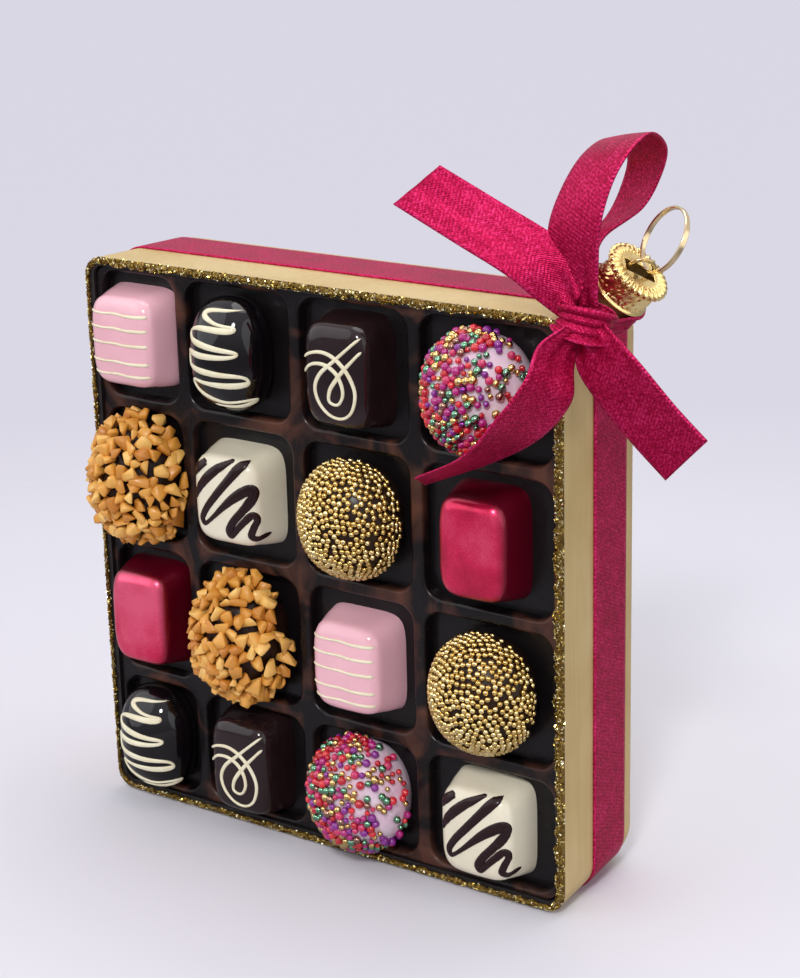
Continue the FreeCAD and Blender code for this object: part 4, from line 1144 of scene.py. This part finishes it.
knotOff = knotMiddle - neckCorner
knotAcross, knotBack, knotUp = knotOff.dot(neckAcross), knotOff.dot(neckBack), knotOff.dot(neckAlong)
strandBack = knotBack + wrap["knotIn"]
strandUp = knotUp * wrap["knotShare"] + wrap["middle"] * (1 - wrap["knotShare"])
wrapStops = [onNeck(knotAcross - wrap["knotSpread"], strandBack, strandUp),
             onNeck(wrap["leftStrand"], wrap["front"], wrap["middle"])]
for step in range(wrap["arcSteps"] + 1):
    angle = math.radians(wrap["arcFrom"] - wrap["arc"] * step / wrap["arcSteps"])
    across, back = wrap["radius"] * math.cos(angle), wrap["radius"] * math.sin(angle)
    wrapStops.append(onNeck(across, back, wrap["middle"]))
wrapStops += [onNeck(wrap["rightStrand"], wrap["front"], wrap["middle"]),
              onNeck(knotAcross + wrap["knotSpread"], strandBack, strandUp)]
wrapPlaces = along(wrapStops, wrap["steps"])
layRibbon("ribbon_neck_wrap", wrapPlaces, [neckAlong] * len(wrapPlaces),
          [wrap["width"]] * len(wrapPlaces), wrapRise)

# the knot's own band
knot = {"turn": 35.0, "lean": 14.0, "length": 7.6 * mm, "depth": 4.6 * mm, "height": 5.4 * mm, "steps": 64,
        "endShare": 0.62, "taper": 0.8, "pleat": 0.42 * mm, "pleats": 3.5, "pleatShift": 1.0,
        "bulge": 0.9 * mm}


def knotRise(share, run):
    pleat = knot["pleat"] * math.cos(share * math.pi * knot["pleats"] + knot["pleatShift"])
    return -knot["bulge"] * share * share + pleat


knotTurn, knotLean = math.radians(knot["turn"]), math.radians(knot["lean"])
knotRight = Vector((math.cos(knotTurn), math.sin(knotTurn), 0))
knotFront = Vector((knotRight.y, -knotRight.x, 0))
upright = Vector((0, 0, 1))
knotSide = knotRight * math.cos(knotLean) - upright * math.sin(knotLean)
knotTop = upright * math.cos(knotLean) + knotRight * math.sin(knotLean)
knotPlaces, knotWidths = [], []
for step in range(knot["steps"]):
    angle = fullTurn * step / knot["steps"]
    knotPlaces.append(knotMiddle + knotSide * knot["length"] / 2 * math.cos(angle)
                      + knotFront * knot["depth"] / 2 * math.sin(angle))
    fullness = (1 - knot["endShare"]) * abs(math.sin(angle)) ** knot["taper"]
    knotWidths.append(knot["height"] * (knot["endShare"] + fullness))
layRibbon("bow_knot", knotPlaces, [knotTop] * len(knotPlaces), knotWidths,
          knotRise, closed=True)
print("ribbon tied")


# stamped cap

capForm = {
    "around": 288, "rowSteps": 4,
    # along the neck and out from it in mm, from the skirt's edge to the middle of the top
    "outer": ((2.4, 5.02), (2.52, 5.14), (2.72, 5.06), (3.0, 4.76), (3.4, 4.64), (4.0, 4.62), (4.6, 4.62),
              (5.2, 4.62), (5.8, 4.62), (6.15, 4.7), (6.4, 5.0), (6.62, 5.3), (6.9, 5.42), (7.2, 5.38),
              (7.45, 5.18), (7.62, 4.85), (7.7, 4.45), (7.66, 4.0), (7.52, 3.6), (7.44, 3.2), (7.42, 2.6),
              (7.42, 1.8), (7.42, 0.9)),
    "inner": ((7.05, 0.9), (7.05, 2.6), (7.05, 4.3), (6.0, 4.3), (4.5, 4.3), (2.4, 4.5)),
    "pleats": 30, "scrolls": 9, "pleatRise": 0.2, "scrollRise": 0.2, "beadRise": 0.16, "topShare": 0.8,
    "swayFrom": 3.6, "sway": 1.9, "swayPitch": 2.6, "crossFrom": 4.8, "crossSlant": 3.4,  # scrolls
    "beadsAt": 3.3, "beadPitch": 5.5, "beadsToScroll": 4,
    # heights and reaches between which each relief comes up or dies away
    "rimUp": (6.1, 6.6), "skirtUp": (2.9, 3.2), "skirtEnd": (5.9, 6.2), "beadEnd": (3.5, 3.7),
    "topUp": (7.3, 7.6), "topOut": (3.2, 4.0),
    "slotTurn": 48.0, "slotLength": 5.6 * mm, "slotWidth": 2.6 * mm, "slotDeep": 3.0 * mm, "slotUp": 7.4 * mm,
}


def capRelief(up, turn, form):  # pleated rim, and scrolls and beads pressed into the skirt
    rise = form["pleatRise"] * math.cos(form["pleats"] * turn) * smoothStep(*form["rimUp"], up)
    skirt = smoothStep(*form["skirtUp"], up) * (1 - smoothStep(*form["skirtEnd"], up))
    phase = form["scrolls"] * turn
    sway = form["sway"] * math.sin((up - form["swayFrom"]) * form["swayPitch"])
    cross = phase * 2 - (up - form["crossFrom"]) * form["crossSlant"]
    swirl = math.cos(phase + sway) * math.cos(cross)
    beads = max(0.0, math.cos(phase * form["beadsToScroll"]))
    beads *= max(0.0, math.cos((up - form["beadsAt"]) * form["beadPitch"]))
    beads *= 1 - smoothStep(*form["beadEnd"], up)
    return rise + skirt * (form["scrollRise"] * max(0.0, swirl) + form["beadRise"] * beads)


def slotCutter(form):
    shape = bmesh.new()
    bmesh.ops.create_cube(shape, size=1.0)
    mesh = meshFrom(shape, "slotCutter")
    turn = math.radians(form["slotTurn"])
    slotLine = neckAcross * math.sin(turn) - neckBack * math.cos(turn)
    ringNormal = neckAcross * math.cos(turn) + neckBack * math.sin(turn)
    sides = Matrix((
        slotLine * form["slotWidth"], ringNormal * form["slotLength"], neckAlong * form["slotDeep"]))
    mesh.transform(Matrix.Translation(onNeck(0, 0, form["slotUp"])) @ sides.transposed().to_4x4())
    piece = newPiece("slotCutter", mesh)
    turnOutwards(piece)
    return piece


def buildCap(form):
    rows = along([Vector(row) for row in form["outer"]], form["rowSteps"])
    pressed, count = len(rows), form["around"]
    rows += [Vector(row) for row in form["inner"]]
    vertices = []
    for index, row in enumerate(rows):
        for step in range(count):
            turn = fullTurn * step / count
            up, out = row
            if index < pressed:
                onTop = smoothStep(*form["topUp"], up) * smoothStep(*form["topOut"], out)
                press = capRelief(up, turn, form)
                out += press * (1 - onTop)
                up += press * onTop * form["topShare"]
            vertices.append(onNeck(out * mm * math.cos(turn), out * mm * math.sin(turn), up * mm))
    piece = closedPiece("hangerCap", vertices, gridFaces(len(rows), count, joinRows=True), capGold)
    cutter = slotCutter(form)
    cut = piece.modifiers.new("slot", "BOOLEAN")
    cut.object = cutter
    cut.operation = "DIFFERENCE"
    cap = settled(piece)
    bpy.data.objects.remove(cutter)
    return cap


standFor(buildCap(capForm), "gold_metal", "hanger_cap", body="cap")
print("cap stamped")


# finishes on the pieces that stay as they were built

for node, material in (
        ("box_case", caseGold), ("tray_panel", trayPaint), ("hanger_ring", ringGold),
        ("spring_clip", clipWire)):
    nodes[node].data.materials.clear()
    nodes[node].data.materials.append(material)
